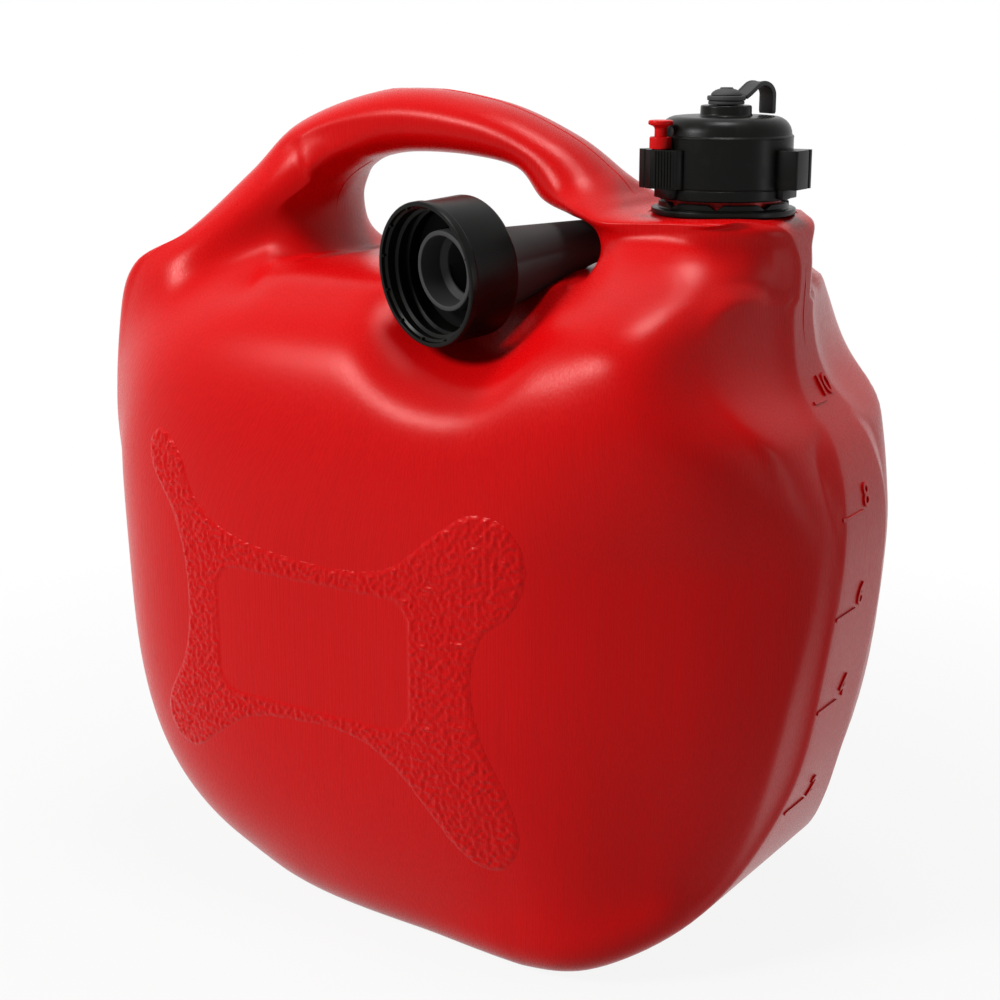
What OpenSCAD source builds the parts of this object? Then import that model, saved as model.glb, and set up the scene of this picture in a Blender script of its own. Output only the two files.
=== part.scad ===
// Fuel can with a moulded handle, a screw cap with a pin lock, and a pouring spout stored in the grip gap.
// Millimetres, +Z up, origin on the ground under the middle of the tank, filler neck towards +X.

/* [Tank] */
// Length from end to end
tank_l = 302; // [294:1:314]
// Width across the flanks
tank_w = 182; // [172:1:194]
// Height of the shelf under the grip gap
shelf_z = 244; // [241:1:246]
// Wall of the moulding
wall = 2.4; // [1.6:0.2:3.2]
// Width of the flat strip down each end
strip_w = 44; // [36:1:50]
// Width of the base that the can stands on
base_w = 132; // [116:2:142]
// Width of the land along the parting line
land_w = 1; // [0.6:0.2:2]

/* [Handle] */
// Height of the crown of the handle
crown_z = 306; // [302:1:314]
// Thickness of the grip from side to side
grip_w = 34; // [28:1:38]
// Height of the top of the grip gap
gap_top = 282; // [279:1:284]
// Reach of the grip gap towards the back of the can
gap_rear = 77; // [73:1:81]
// Reach of the grip gap towards the neck
gap_front = 53; // [51:1:55]

/* [Filler tower] */
// Height of the tower's top
tower_z = 266; // [264:1:270]
// Width of the tower
tower_w = 62; // [58:1:68]
// Distance from the end of the tank back to the tower's nose
nose_in = 26.5; // [24:0.5:28]
// Width of the flat strip down the nose
nose_w = 18; // [14:1:24]

/* [Neck] */
// Distance from the tower's nose back to the neck
neck_in = 32; // [31:0.5:34]
// Outside diameter of the neck
neck_d = 40; // [38:0.5:41]
// Bore of the neck
neck_bore = 34; // [30:0.5:35]
// Height of the neck above the tower
neck_h = 27.5; // [25:0.5:32]
// Outside diameter of the loose neck ring
ring_d = 50; // [48:0.5:52]
// Thickness of the loose neck ring
ring_h = 1.3; // [0.9:0.1:1.6]
// Outside diameter of the sleeve on the neck ring
sleeve_d = 45; // [43:0.5:46]
// Height of the sleeve
sleeve_h = 3.1; // [2.4:0.1:4]
// Number of notches in the sleeve's top edge
notch_count = 8; // [4:1:12]
// Width of a notch
notch_w = 5.5; // [3:0.5:7]

/* [Cap] */
// Diameter of the cap's skirt
cap_d = 47; // [46:0.5:50]
// Gap between the sleeve and the skirt
skirt_gap = 1; // [0.5:0.1:2]
// Thickness of the cap's roof
roof_t = 3.2; // [2.4:0.2:4]
// Radius of the cap's shoulder
shoulder_r = 6; // [4:0.25:6.5]
// Number of grip lugs
lug_count = 3; // [2:1:4]
// Distance from the cap's axis to the outside of a lug
lug_r = 30; // [29:0.5:33]
// Width of a lug
lug_w = 17; // [14:0.5:20]
// Height of a lug
lug_h = 13; // [11:0.5:15]
// Direction of the lug that holds the lock pin
lug_turn = 240; // [0:1:359]
// Thickness of the cap gasket
seal_h = 2; // [1:0.1:3]
// Diameter of the boss round the vent
boss_d = 17.5; // [15:0.5:20]
// Height of the boss
boss_h = 3.6; // [2.5:0.1:5]

/* [Lock pin] */
// Diameter of the pin's stem
pin_d = 4.2; // [3.4:0.1:4.4]
// Diameter of the pin's head
pin_head_d = 8.5; // [7:0.25:10]
// Height of the bush above the lug
bush_h = 4; // [3:0.25:5]
// Diameter of the bush
bush_d = 7.5; // [6.8:0.1:8]
// Height of the pin's head above the bush
pin_rise = 5.5; // [4:0.25:7]
// Wire diameter of the spring
spring_wire = 0.5; // [0.4:0.05:0.6]

/* [Vent plug] */
// Diameter of the plug's dome
plug_d = 10.8; // [9.6:0.2:13]
// Diameter of the vent hole
vent_d = 6.4; // [5:0.2:7]
// Width of the strap
strap_w = 8; // [5:0.5:9]
// Thickness of the strap
strap_t = 1.6; // [1.2:0.1:2]
// Height of the strap's bow above the boss
strap_rise = 8; // [7:0.25:10]
// Direction of the strap
strap_turn = 62; // [0:1:359]

/* [Spout] */
// Length of the spout from mouth to tip
spout_l = 152; // [140:1:158]
// Diameter of the collar
collar_d = 50; // [48:0.5:51]
// Length of the collar
collar_l = 22; // [20:0.5:26]
// Wall of the collar
collar_t = 2.6; // [2:0.1:3.2]
// Diameter of the tube where it leaves the collar
tube_d = 24; // [22:0.5:26]
// Diameter of the tube where it crosses the shelf
throat_d = 14.8; // [13:0.2:16]
// Diameter of the tube at the tip
tip_d = 12.4; // [11:0.2:13]
// Wall of the tube
tube_t = 1.8; // [1.2:0.1:2.2]
// Diameter of the stub inside the collar
stub_d = 28; // [26:0.5:30]
// Depth of the stub's end inside the collar's mouth
stub_in = 8.4; // [6:0.2:11]
// Distance from the collar's mouth to the middle of the can, along the spout
spout_in = 78; // [74:1:80]
// Place where the spout crosses the middle of the can
spout_x = 39; // [37:0.5:40]
// Turn of the spout from straight across the can
spout_yaw = 15.7; // [13:0.1:17]
// Rise of the spout towards its tip
spout_tilt = 4.6; // [3.5:0.1:6]

/* [Fits] */
// Gap between a piece and its seat
seat_gap = 0.3; // [0.2:0.05:0.5]
// Gap of a sliding fit, each side
slide_gap = 0.08; // [0.05:0.01:0.1]

/* [Hidden] */
$fn = 64;
eps = 0.01;
red = [0.78, 0.03, 0.04];
black = [0.06, 0.06, 0.06];

// Tank form
end_x = tank_l / 2;
nose_x = end_x - nose_in;
neck_x = nose_x - neck_in;
foot_drop = 8;
mid_z = (shelf_z - foot_drop) / 2;
rise_z = (shelf_z + foot_drop) / 2;
grip = grip_w / 2;
tower = tower_w / 2;
strip = strip_w / 2;
base = base_w / 2;
nose = nose_w / 2;
land = land_w / 2;
blend = 14;
crisp_in = 2.5;
crisp_r = 3;
lines_per_station = 2;
rows = 18;

// Heights on the neck
ring_z = tower_z + seat_gap;
sleeve_z = ring_z + ring_h + sleeve_h;
skirt_z = sleeve_z + skirt_gap;
notch_turn = 20;
notch_h = 1.7;
neck_top = tower_z + neck_h;
seal_z = neck_top + seat_gap;
roof_z = seal_z + seal_h + seat_gap;
cap_top = roof_z + roof_t;
cap_r = cap_d / 2;
cap_bore_r = neck_d / 2 + 0.7;
step_r = 0.7;
seam_z = cap_top - shoulder_r - step_r;
boss_z = cap_top + boss_h;

// Lock pin in its lug
lug_z = skirt_z + 4;
lug_top = lug_z + lug_h;
lug_floor = 3;
pocket_r = pin_d / 2 + 0.8;
pin_x = (cap_r + lug_r) / 2 - 0.6;
bush_in = 2.3;
pin_shoulder_h = 1.6;
pin_shoulder_z = lug_z + lug_floor + seat_gap;
pin_tip_r = pin_d / 2 - 0.5;
pin_head_z = lug_top + seat_gap + bush_h + pin_rise;

// Vent plug and strap
plug_z = boss_z + seat_gap;
plug_rim_h = 1.2;
plug_neck_r = plug_d / 2 - 0.6;
strap_foot_r = cap_r - shoulder_r;
strap_foot_z = cap_top + seat_gap + strap_t / 2;
strap_bow_r = 4.2;
strap_bow_x = strap_foot_r - strap_bow_r;
strap_bow_z = boss_z + strap_rise - strap_bow_r - strap_t / 2;

// Spout
collar_r = collar_d / 2;
collar_bore_r = collar_r - collar_t;
plate_z = collar_l - collar_t;
flange_h = 2;
flange_z = plate_z - seat_gap - flange_h;
spout_seal_h = 1.6;
throat_z = spout_in;
saddle_gap = 2.2;
spout_z = shelf_z + throat_d / 2 + saddle_gap;

// Channel in the flanks that clears the collar
channel_drop = 0.5;
channel_x = spout_x - 10;
channel_half = 36;
channel_rise = 18;
channel_gap = 2;
collar_back = spout_in - collar_l;
channel_y = collar_back * cos(spout_yaw);
channel_z = spout_z - collar_back * sin(spout_tilt) - collar_r - channel_gap;

function smooth_max(a, b, k) = max(a, b) + pow(max(k - abs(a - b), 0), 2) / (4 * k);
function smooth_min(a, b, k) = -smooth_max(-a, -b, k);
function ease(t) = t * t * (3 - 2 * t);
function step_up(v, a, b) = ease(min(max((v - a) / (b - a), 0), 1));
function mix(a, b, t) = a + (b - a) * t;

// Half-length of the body at a height, drawn in under the nose
function reach(x, z, t) =
    let (back = end_x - mix(6.5, 1.5, step_up(z, 60, 190)),
         front = end_x - mix(2, 1, step_up(z, 70, 170)))
    (x < 0 ? back : mix(front, nose_x + 10, step_up(z, shelf_z - 94, shelf_z - 19))) - t;

// Squareness of the body's corners in the side view
function corner(x, z) = z < mid_z ? (x < 0 ? 2.8 : 2.3) : (x < 0 ? 4.5 : 9);

// Squareness of the body in plan, rounder at the strip below the nose
function roundness(x, z) = mix(4, 2.2, step_up(x, -20, 110) * (1 - step_up(z, shelf_z - 94, shelf_z - 24)));

// Height of the shelf along the can
function roof(x) =
    let (n = corner(x, shelf_z))
    mid_z + rise_z * pow(max(1 - pow(abs(x) / reach(x, shelf_z, 0), n), 0), 1 / n);

// Half-width of the cushion-shaped body, a little higher beside the tower, inset by t
function body(x, z, t) =
    let (n = corner(x, z),
         m = roundness(x, z),
         rise = rise_z + (z < mid_z ? 0 : 4) * step_up(x, 45, 85),
         e = pow(pow(abs(x) / reach(x, z, t), n) + pow(abs(z - mid_z) / (rise - t), n), 1 / n),
         v = 1 - pow(e, m))
    (tank_w / 2 - t) * sign(v) * pow(abs(v), 1 / m);

// Spread of the tower's foot over the shoulder
function flare(x, z) =
    let (along = step_up(x, 52, 80) * (1 - step_up(x, nose_x - 16, nose_x + 2)),
         up = step_up(z, shelf_z - 44, shelf_z - 19))
    26 * along * up * pow(min(max((tower_z - 2 - z) / 30, 0), 1), 2.2);

// Half-width that the spout's channel leaves, inset by t
function channel(x, z, t) =
    (channel_z + channel_rise * pow(abs(x - channel_x) / channel_half, 3) - z) / channel_drop + channel_y
    - t * sqrt(1 + 1 / pow(channel_drop, 2));

// A station runs from the gap's rim to the side outline. Its shape holds the half-width at the outline,
// the depth of the round there, the half-widths inside and outside, and the depth of the round at the gap.
function across(rim, out, shape) = concat(rim, out, shape);
function from_shelf(x, out, shape) = concat([x, roof(x)], out, shape);

stations = [
    across([-36, gap_top + 0.5], [-45, crown_z], [0, 12, grip, grip, 12]),
    across([-10, gap_top], [-2, crown_z - 3.5], [0, 11, grip, grip, 11]),
    across([12, gap_top - 4], [30, crown_z - 15], [0, 12, grip, grip, 12]),
    across([23, gap_top - 14.5], [50, tower_z + 12], [0, 15, grip + 2, grip + 3, 15]),
    across([gap_front - 16, tower_z - 3], [neck_x - 34, tower_z + 4.5], [10, 13, tower - 7, tower - 4, 15]),
    across([gap_front - 6, tower_z - 5.5], [neck_x - 22, tower_z], [22, 11, tower - 3, tower, 16]),
    across([gap_front - 1, tower_z - 11], [nose_x - 9, tower_z], [19, 12, tower - 1, tower, 16]),
    across([gap_front, tower_z - 16], [nose_x - 0.5, tower_z - 12], [nose, 16, tower, tower, 16]),
    across([gap_front - 2, shelf_z + 1], [nose_x, shelf_z - 15], [nose, 18, tower, tower + 4, 16]),
    from_shelf(gap_front - 9, [nose_x + 5, shelf_z - 34], [nose + 3, 18, 18, tower + 8, 16]),
    from_shelf(gap_front - 17, [end_x - 6, shelf_z - 55], [strip - 4, 14, 8, strip + 14, 14]),
    from_shelf(gap_front - 25, [end_x, shelf_z - 84], [strip - 1, 10, 8, strip + 8, 14]),
    from_shelf(19, [end_x - 4.5, 114], [strip, 7, 8, strip + 3, 14]),
    from_shelf(10, [end_x - 15, 66], [strip + 1, 7, 16, strip + 4, 14]),
    from_shelf(2, [end_x - 34, 27], [base - 22, 12, 30, base - 12, 14]),
    from_shelf(-5, [end_x - 62, 6.5], [base - 2, 14, 30, base + 11, 14]),
    from_shelf(-12, [end_x - 92, 0], [base + 3, 15, 30, base + 16, 14]),
    from_shelf(-21, [12, 0], [base, 16, 30, base + 12, 14]),
    from_shelf(-30, [-30, 0], [base - 6, 17, 30, base + 8, 14]),
    from_shelf(-38, [95 - end_x, 0], [base - 16, 18, 30, base + 2, 14]),
    from_shelf(-45, [61 - end_x, 6.5], [base - 30, 16, 30, base - 16, 14]),
    from_shelf(-52, [31 - end_x, 27], [base - 38, 14, 30, base - 26, 14]),
    from_shelf(-59, [11 - end_x, 67], [strip + 3, 8, 30, strip + 8, 14]),
    across([9 - gap_rear, shelf_z - 2], [2 - end_x, 114], [strip + 8, 14, 30, strip + 20, 14]),
    across([3 - gap_rear, shelf_z + 4], [0.2 - end_x, shelf_z - 76], [strip + 18, 20, 30, strip + 38, 16]),
    across([-gap_rear, shelf_z + 12], [2 - end_x, shelf_z - 32], [strip + 22, 22, 30, strip + 38, 18]),
    across([1 - gap_rear, shelf_z + 20], [9.5 - end_x, shelf_z - 8],
           [strip + 18, 18, grip + 9, strip + 36, 18]),
    across([6 - gap_rear, gap_top - 11.5], [27.5 - end_x, shelf_z + 4],
           [strip + 8, 16, grip + 3, strip + 24, 16]),
    across([14 - gap_rear, gap_top - 6], [43 - end_x, shelf_z + 29], [6, 15, grip, grip + 8, 14]),
    across([24 - gap_rear, gap_top - 2], [-87.5, crown_z - 12.5], [0, 13, grip, grip + 1, 12])
];

// Closed curve through the stations
function spline(p, i, u) =
    let (n = len(p), a = p[(i + n - 1) % n], b = p[i], c = p[(i + 1) % n], d = p[(i + 2) % n])
    0.5 * (2 * b + (c - a) * u + (2 * a - 5 * b + 4 * c - d) * u * u + (3 * b - a - 3 * c + d) * u * u * u);
lines = [for (i = [0 : len(stations) - 1])
            for (k = [0 : lines_per_station - 1]) spline(stations, i, k / lines_per_station)];

// Line i with both of its ends moved square into the material by t
function inset(i, t) =
    let (n = len(lines),
         d = lines[(i + 1) % n] - lines[(i + n - 1) % n],
         rim = t * [-d[1], d[0]] / norm([d[0], d[1]]),
         out = t * [d[3], -d[2]] / norm([d[2], d[3]]))
    lines[i] + concat(rim, out, [0, 0, 0, 0, 0]);

// Quarter of a rounded edge: 0 at its start, 1 past its depth
function edge(d, depth) = pow(1 - pow(1 - min(d / depth, 1), 2.1), 1 / 2.1);

// Share of a crisp edge on the outline, full at the nose and down the strip below it
function crisp(k, t) = step_up(k[2] + t, nose_x - 14, nose_x - 6);

// Half-width of the band between the gap and the outline, at the share s along a line of length l
function band(k, s, l, t) =
    let (p = mix([k[0], k[1]], [k[2], max(k[3], t)], s),
         a = mix(k[6], k[7], step_up(s, 0.02, 0.52)) + flare(p[0], p[1] + t) - t,
         rim = min(max(k[4] - t, 0), a),
         d = (1 - s) * l,
         bow = 1 - pow(1 - min(d / (2.2 * k[5]), 1), 2),
         near = a * edge(s * l, k[8] - t),
         far = rim + (a - rim) * mix(edge(d, k[5] - t), bow, crisp(k, t)))
    min(near, far) < 0.01 ? 0 : min(a, pow(pow(near, -3) + pow(far, -3) - pow(a, -3), -1 / 3));

// Point of the front mould half on a line, at row j
function mould_point(k, j, t) =
    let (s = 0.5 - 0.5 * cos(180 * j / rows),
         rim = [k[0], k[1]],
         out = [k[2], max(k[3], t)],
         l = norm(out - rim),
         p = mix(rim, out, s),
         cushion = smooth_min(body(p[0], p[1], t), channel(p[0], p[1], t), 16),
         soft = blend * (1 + step_up(p[0], 50, 90)),
         edge_in = crisp_in * crisp(k, t) * (1 - edge((1 - s) * l, crisp_r)))
    [p[0], -max(smooth_max(band(k, s, l, t), cushion, soft) - edge_in, land), p[1]];

// Both mould halves joined along the gap's rim and the side outline, inset by t
module moulding(t) {
    count = len(lines);
    row = rows + 1;
    half = [for (i = [0 : count - 1])
                let (k = inset(i, t))
                for (j = [0 : rows]) mould_point(k, j, t)];
    other = [for (q = half) [q[0], -q[1], q[2]]];
    faces = [for (i = [0 : count - 1])
                let (a = i * row, b = ((i + 1) % count) * row, o = count * row)
                each concat(
                    [for (j = [0 : rows - 1])
                        each [[a + j, a + j + 1, b + j + 1], [a + j, b + j + 1, b + j]]],
                    [for (j = [0 : rows - 1])
                        each [[o + a + j, o + b + j + 1, o + a + j + 1],
                              [o + a + j, o + b + j, o + b + j + 1]]],
                    [[a + rows, o + a + rows, o + b + rows], [a + rows, o + b + rows, b + rows],
                     [a, b, o + b], [a, o + b, o + a]])];
    polyhedron(concat(half, other), faces, convexity = 10);
}

// Hollow tank with its handle, tower and neck
module tank_body() {
    color(red)
    difference() {
        union() {
            difference() {
                moulding(0);
                translate([neck_x, 0, tower_z])
                    cylinder(d = ring_d + 2, h = 12);
            }
            translate([neck_x, 0, tower_z - wall])
                cylinder(d = neck_d, h = neck_h + wall);
        }
        moulding(wall);
        translate([neck_x, 0, tower_z - 4 * wall])
            cylinder(d = neck_bore, h = neck_h + 5 * wall);
    }
}

// Loose ring round the foot of the neck: a flat flange, and a sleeve with notches in its top edge
module neck_ring() {
    h = ring_h + sleeve_h;
    color(black)
    translate([neck_x, 0, ring_z])
        difference() {
            union() {
                cylinder(d = ring_d, h = ring_h);
                cylinder(d = sleeve_d, h = h);
            }
            translate([0, 0, -eps])
                cylinder(d = neck_d + 2 * seat_gap, h = h + 2 * eps);
            for (i = [0 : notch_count - 1])
                rotate(notch_turn + i * 360 / notch_count)
                    translate([neck_d / 2 - 1, 0, h])
                        rotate([90, 0, 90])
                            linear_extrude(ring_d / 2)
                                polygon([[-notch_w / 2, eps], [0, -notch_h], [notch_w / 2, eps]]);
        }
}

// Grip lug with upright grooves between two columns on its outer face, along +X from the cap's axis
module lug_outline() {
    pitch = lug_w / 14;
    cut = 1.2;
    y = lug_w / 2;
    difference() {
        polygon([[cap_bore_r + 1, -y], [lug_r - cut, -y], [lug_r, cut - y], [lug_r, y - cut],
                 [lug_r - cut, y], [cap_bore_r + 1, y]]);
        for (i = [0 : 7])
            translate([lug_r - 0.8, (i - 3.5) * pitch - pitch / 4])
                square([2, pitch / 2]);
    }
}

// Revolved outline of the cap: skirt, seam, round shoulder and boss
module cap_outline() {
    round_r = cap_r - step_r;
    polygon(concat(
        [[cap_bore_r, skirt_z], [cap_r - 0.6, skirt_z], [cap_r, skirt_z + 0.6], [cap_r, seam_z],
         [round_r, seam_z + step_r]],
        [for (a = [10 : 10 : 90])
            [round_r - shoulder_r * (1 - cos(a)), cap_top - shoulder_r * (1 - sin(a))]],
        [[boss_d / 2, cap_top], [boss_d / 2, boss_z - 0.5], [boss_d / 2 - 0.5, boss_z],
         [vent_d / 2, boss_z], [vent_d / 2, roof_z],
         [cap_bore_r - 1.2, roof_z], [cap_bore_r, roof_z - 1.2]]));
}

// Screw cap with grip lugs, a vent boss, and the pocket of the lock with a relief beside its bush
module cap_shell() {
    color(black)
    translate([neck_x, 0, 0])
        difference() {
            union() {
                rotate_extrude()
                    cap_outline();
                for (i = [0 : lug_count - 1])
                    rotate(lug_turn + i * 360 / lug_count) {
                        translate([0, 0, lug_z])
                            linear_extrude(lug_h)
                                lug_outline();
                        translate([cap_bore_r + 1, -lug_w / 2 + 1.5, skirt_z + 0.6])
                            cube([cap_r + 1.4 - cap_bore_r - 1, lug_w - 3, lug_z - skirt_z]);
                    }
            }
            rotate(lug_turn)
                translate([pin_x, 0, 0]) {
                    translate([0, 0, lug_z + lug_floor])
                        cylinder(r = pocket_r, h = lug_h);
                    translate([0, 0, skirt_z])
                        cylinder(r = pin_tip_r + slide_gap, h = lug_h);
                    translate([0, 0, lug_top])
                        cylinder(r = bush_d / 2 + seat_gap, h = lug_h);
                }
        }
}

// Sealing ring between the neck and the cap's roof
module cap_gasket() {
    color(black)
    translate([neck_x, 0, seal_z])
        difference() {
            cylinder(d = neck_d - 2, h = seal_h);
            translate([0, 0, -eps])
                cylinder(d = neck_bore - 2, h = seal_h + 2 * eps);
        }
}

// Puts a piece of the lock on the axis of its lug
module on_lock_lug() {
    translate([neck_x, 0, 0])
        rotate(lug_turn)
            translate([pin_x, 0, 0])
                children();
}

// Bush that guides the pin, standing in the lug's pocket
module lock_bush() {
    z = lug_top + seat_gap;
    color(red)
    on_lock_lug()
        rotate_extrude()
            polygon([[pin_d / 2 + slide_gap, lug_top - bush_in], [pocket_r - slide_gap, lug_top - bush_in],
                     [pocket_r - slide_gap, z], [bush_d / 2, z], [bush_d / 2, z + bush_h - 0.4],
                     [bush_d / 2 - 0.4, z + bush_h], [pin_d / 2 + slide_gap, z + bush_h]]);
}

// Pull pin with a flared head, a stem, a shoulder under the spring and a tip through the lug's floor
module lock_pin() {
    r = pin_d / 2;
    z = pin_shoulder_z;
    color(red)
    on_lock_lug()
        rotate_extrude()
            polygon([[0, lug_z + seat_gap], [pin_tip_r - 0.3, lug_z + seat_gap],
                     [pin_tip_r, lug_z + seat_gap + 0.5], [pin_tip_r, z],
                     [pocket_r - slide_gap, z], [pocket_r - slide_gap, z + pin_shoulder_h],
                     [r, z + pin_shoulder_h], [r, pin_head_z - 2.6], [r + 0.4, pin_head_z - 2],
                     [pin_head_d / 2, pin_head_z - 1.2], [pin_head_d / 2, pin_head_z - 0.5],
                     [pin_head_d / 2 - 0.6, pin_head_z], [0, pin_head_z]]);
}

// Space of the coil spring between the pin's shoulder and the bush
module lock_spring() {
    z = pin_shoulder_z + pin_shoulder_h + slide_gap;
    color([0.7, 0.7, 0.72])
    on_lock_lug()
        translate([0, 0, z])
            difference() {
                cylinder(r = pocket_r - slide_gap, h = lug_top - bush_in - slide_gap - z);
                translate([0, 0, -eps])
                    cylinder(r = pocket_r - slide_gap - spring_wire, h = lug_h);
            }
}

// Domed stopper with a rim, a groove for the strap's eye and a tapered stem in the vent
module vent_plug() {
    rim_top = plug_z + plug_rim_h;
    dome_z = rim_top + strap_t + 2 * slide_gap;
    dome_h = plug_d * 0.26;
    stem_z = plug_z - boss_h - 0.4;
    color(black)
    translate([neck_x, 0, 0])
        rotate_extrude()
            polygon(concat(
                [[0, stem_z], [vent_d / 2 - 1, stem_z], [vent_d / 2 - seat_gap, plug_z],
                 [plug_d / 2 + 0.8, plug_z], [plug_d / 2 + 0.8, rim_top], [plug_neck_r, rim_top],
                 [plug_neck_r, dome_z]],
                [for (a = [0 : 15 : 90]) [plug_d / 2 * cos(a), dome_z + dome_h * sin(a)]]));
}

// Side view of the strap's band, bowed from the plug to its foot on the cap
module strap_outline() {
    start = 128;
    inner = strap_bow_r - strap_t / 2;
    outer = strap_bow_r + strap_t / 2;
    centre = [strap_bow_x, strap_bow_z];
    ramp = 7 * [sin(start), -cos(start)];
    polygon(concat(
        [centre + outer * [cos(start), sin(start)] - ramp],
        [for (a = [start : -16 : 0]) centre + outer * [cos(a), sin(a)]],
        [for (a = [0 : -30 : -180]) [strap_foot_r, strap_foot_z] + strap_t / 2 * [cos(a), sin(a)]],
        [for (a = [0 : 16 : start]) centre + inner * [cos(a), sin(a)]],
        [centre + inner * [cos(start), sin(start)] - ramp]));
}

// Strap with an eye round the plug's groove
module plug_strap() {
    eye_z = plug_z + plug_rim_h + slide_gap;
    eye_r = plug_neck_r + slide_gap;
    color(black)
    translate([neck_x, 0, 0])
        rotate(strap_turn)
            difference() {
                union() {
                    translate([0, 0, eye_z])
                        cylinder(r = plug_d / 2 + 1.2, h = strap_t);
                    rotate([90, 0, 0])
                        translate([0, 0, -strap_w / 2])
                            linear_extrude(strap_w)
                                strap_outline();
                }
                translate([0, 0, plug_z - 5])
                    cylinder(r = eye_r, h = 20);
                translate([0, 0, eye_z + strap_t])
                    cylinder(r = plug_d / 2 + slide_gap, h = 20);
            }
}

// Puts a piece that is drawn from the collar's mouth upwards in the stored spout's place
module on_spout() {
    translate([spout_x, 0, spout_z])
        rotate([0, 0, -spout_yaw])
            rotate([spout_tilt - 90, 0, 0])
                translate([0, 0, -spout_in])
                    children();
}

// Screw collar with a bead round its mouth and a plate behind the tube's flange
module spout_collar() {
    hole_r = tube_d / 2 + seat_gap;
    color(black)
    on_spout()
        rotate_extrude()
            polygon([[collar_bore_r, 0], [collar_r - 0.5, 0], [collar_r, 0.5], [collar_r, 2.6],
                     [collar_r - 0.5, 3.2], [collar_r - 0.5, collar_l - 1.5], [collar_r - 2, collar_l],
                     [hole_r, collar_l], [hole_r, plate_z], [collar_bore_r, plate_z]]);
}

// Tapered tube with a flange inside the collar and a stub that enters the neck
module spout_tube() {
    outer = [[stub_d / 2, stub_in], [stub_d / 2, flange_z], [collar_bore_r - 0.4, flange_z],
             [collar_bore_r - 0.4, flange_z + flange_h], [tube_d / 2, flange_z + flange_h],
             [tube_d / 2, collar_l], [throat_d / 2, throat_z], [tip_d / 2, spout_l]];
    inner = [[tip_d / 2 - tube_t, spout_l], [throat_d / 2 - tube_t, throat_z],
             [tube_d / 2 - tube_t, collar_l], [tube_d / 2 - tube_t, flange_z + flange_h],
             [stub_d / 2 - tube_t, flange_z], [stub_d / 2 - tube_t, stub_in]];
    color(black)
    on_spout()
        rotate_extrude()
            polygon(concat(outer, inner));
}

// Sealing ring on the flange of the tube
module spout_gasket() {
    color(black)
    on_spout()
        translate([0, 0, flange_z - seat_gap - spout_seal_h])
            difference() {
                cylinder(r = collar_bore_r - 1, h = spout_seal_h);
                translate([0, 0, -eps])
                    cylinder(r = stub_d / 2 + seat_gap, h = spout_seal_h + 2 * eps);
            }
}

tank_body();
neck_ring();
cap_shell();
cap_gasket();
lock_bush();
lock_pin();
lock_spring();
vent_plug();
plug_strap();
spout_collar();
spout_tube();
spout_gasket();
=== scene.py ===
"""Looks of the fuel can: moulded tank, screw cap with its lock and stopper, and the stored spout."""
import math

import bmesh
import bpy
import numpy as np
from bpy.props import FloatProperty, FloatVectorProperty, IntProperty, PointerProperty
from mathutils import Matrix, Vector, noise
from mathutils.bvhtree import BVHTree


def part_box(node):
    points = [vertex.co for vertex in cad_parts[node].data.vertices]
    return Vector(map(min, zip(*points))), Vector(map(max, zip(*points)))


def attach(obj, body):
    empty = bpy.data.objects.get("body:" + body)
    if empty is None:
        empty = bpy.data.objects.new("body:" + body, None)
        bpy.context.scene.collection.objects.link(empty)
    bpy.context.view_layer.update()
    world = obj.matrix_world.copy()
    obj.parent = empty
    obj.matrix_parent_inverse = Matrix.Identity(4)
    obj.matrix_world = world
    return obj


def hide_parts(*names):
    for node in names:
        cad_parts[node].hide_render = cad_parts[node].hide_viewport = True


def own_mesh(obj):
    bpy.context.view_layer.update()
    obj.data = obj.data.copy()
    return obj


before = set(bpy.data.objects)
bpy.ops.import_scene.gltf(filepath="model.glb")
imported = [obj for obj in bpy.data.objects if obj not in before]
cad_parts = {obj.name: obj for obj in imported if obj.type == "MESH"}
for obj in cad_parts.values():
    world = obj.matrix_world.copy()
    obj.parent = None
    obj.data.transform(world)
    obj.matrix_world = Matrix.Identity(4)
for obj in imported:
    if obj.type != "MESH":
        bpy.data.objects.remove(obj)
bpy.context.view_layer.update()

bl_info = {
    "name": "Fuel can",
    "version": (1, 0, 0),
    "blender": (4, 5, 0),
    "location": "View3D > Sidebar > Fuel can",
    "description": "Dresses the packed fuel can with moulded surfaces, trim and a stage",
    "category": "Object",
}

MM = 0.001

# Tank, in millimetres, as in the part's source
END_X, TANK_W, SHELF_Z, WALL = 151.0, 182.0, 244.0, 2.4
STRIP, BASE, NOSE, LAND = 22.0, 66.0, 9.0, 0.5
CROWN_Z, GRIP, GAP_TOP, GAP_REAR, GAP_FRONT = 306.0, 17.0, 282.0, 77.0, 53.0
TOWER_Z, TOWER, NOSE_X = 266.0, 31.0, 124.5
MID_Z, RISE_Z = 118.0, 126.0
CHANNEL_X, CHANNEL_Y, CHANNEL_Z = 29.0, 53.91, 222.11

# Neck, cap, lock and stopper
NECK_X, NECK_R, BORE_R, NECK_TOP = 92.5, 20.0, 17.0, 293.5
RING_Z, RING_H, RING_R, SLEEVE_R, SLEEVE_Z = 266.3, 1.3, 25.0, 22.5, 270.7
NOTCHES, NOTCH_TURN, NOTCH_W, NOTCH_H = 8, 20.0, 5.5, 1.7
SKIRT_Z, CAP_R, CAP_BORE_R, SEAM_Z, ROOF_Z, CAP_TOP = 271.7, 23.5, 20.7, 292.6, 296.1, 299.3
SHOULDER_R, STEP_R, BOSS_R, BOSS_Z, VENT_R = 6.0, 0.7, 8.75, 302.9, 3.2
LUGS, LUG_TURN, LUG_R, LUG_W, LUG_Z, LUG_TOP = 3, 240.0, 30.0, 17.0, 275.7, 288.7
PIN_X, PIN_R, POCKET_R, BUSH_R = 26.15, 2.1, 2.9, 3.75
STRAP_TURN = 62.0

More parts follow.
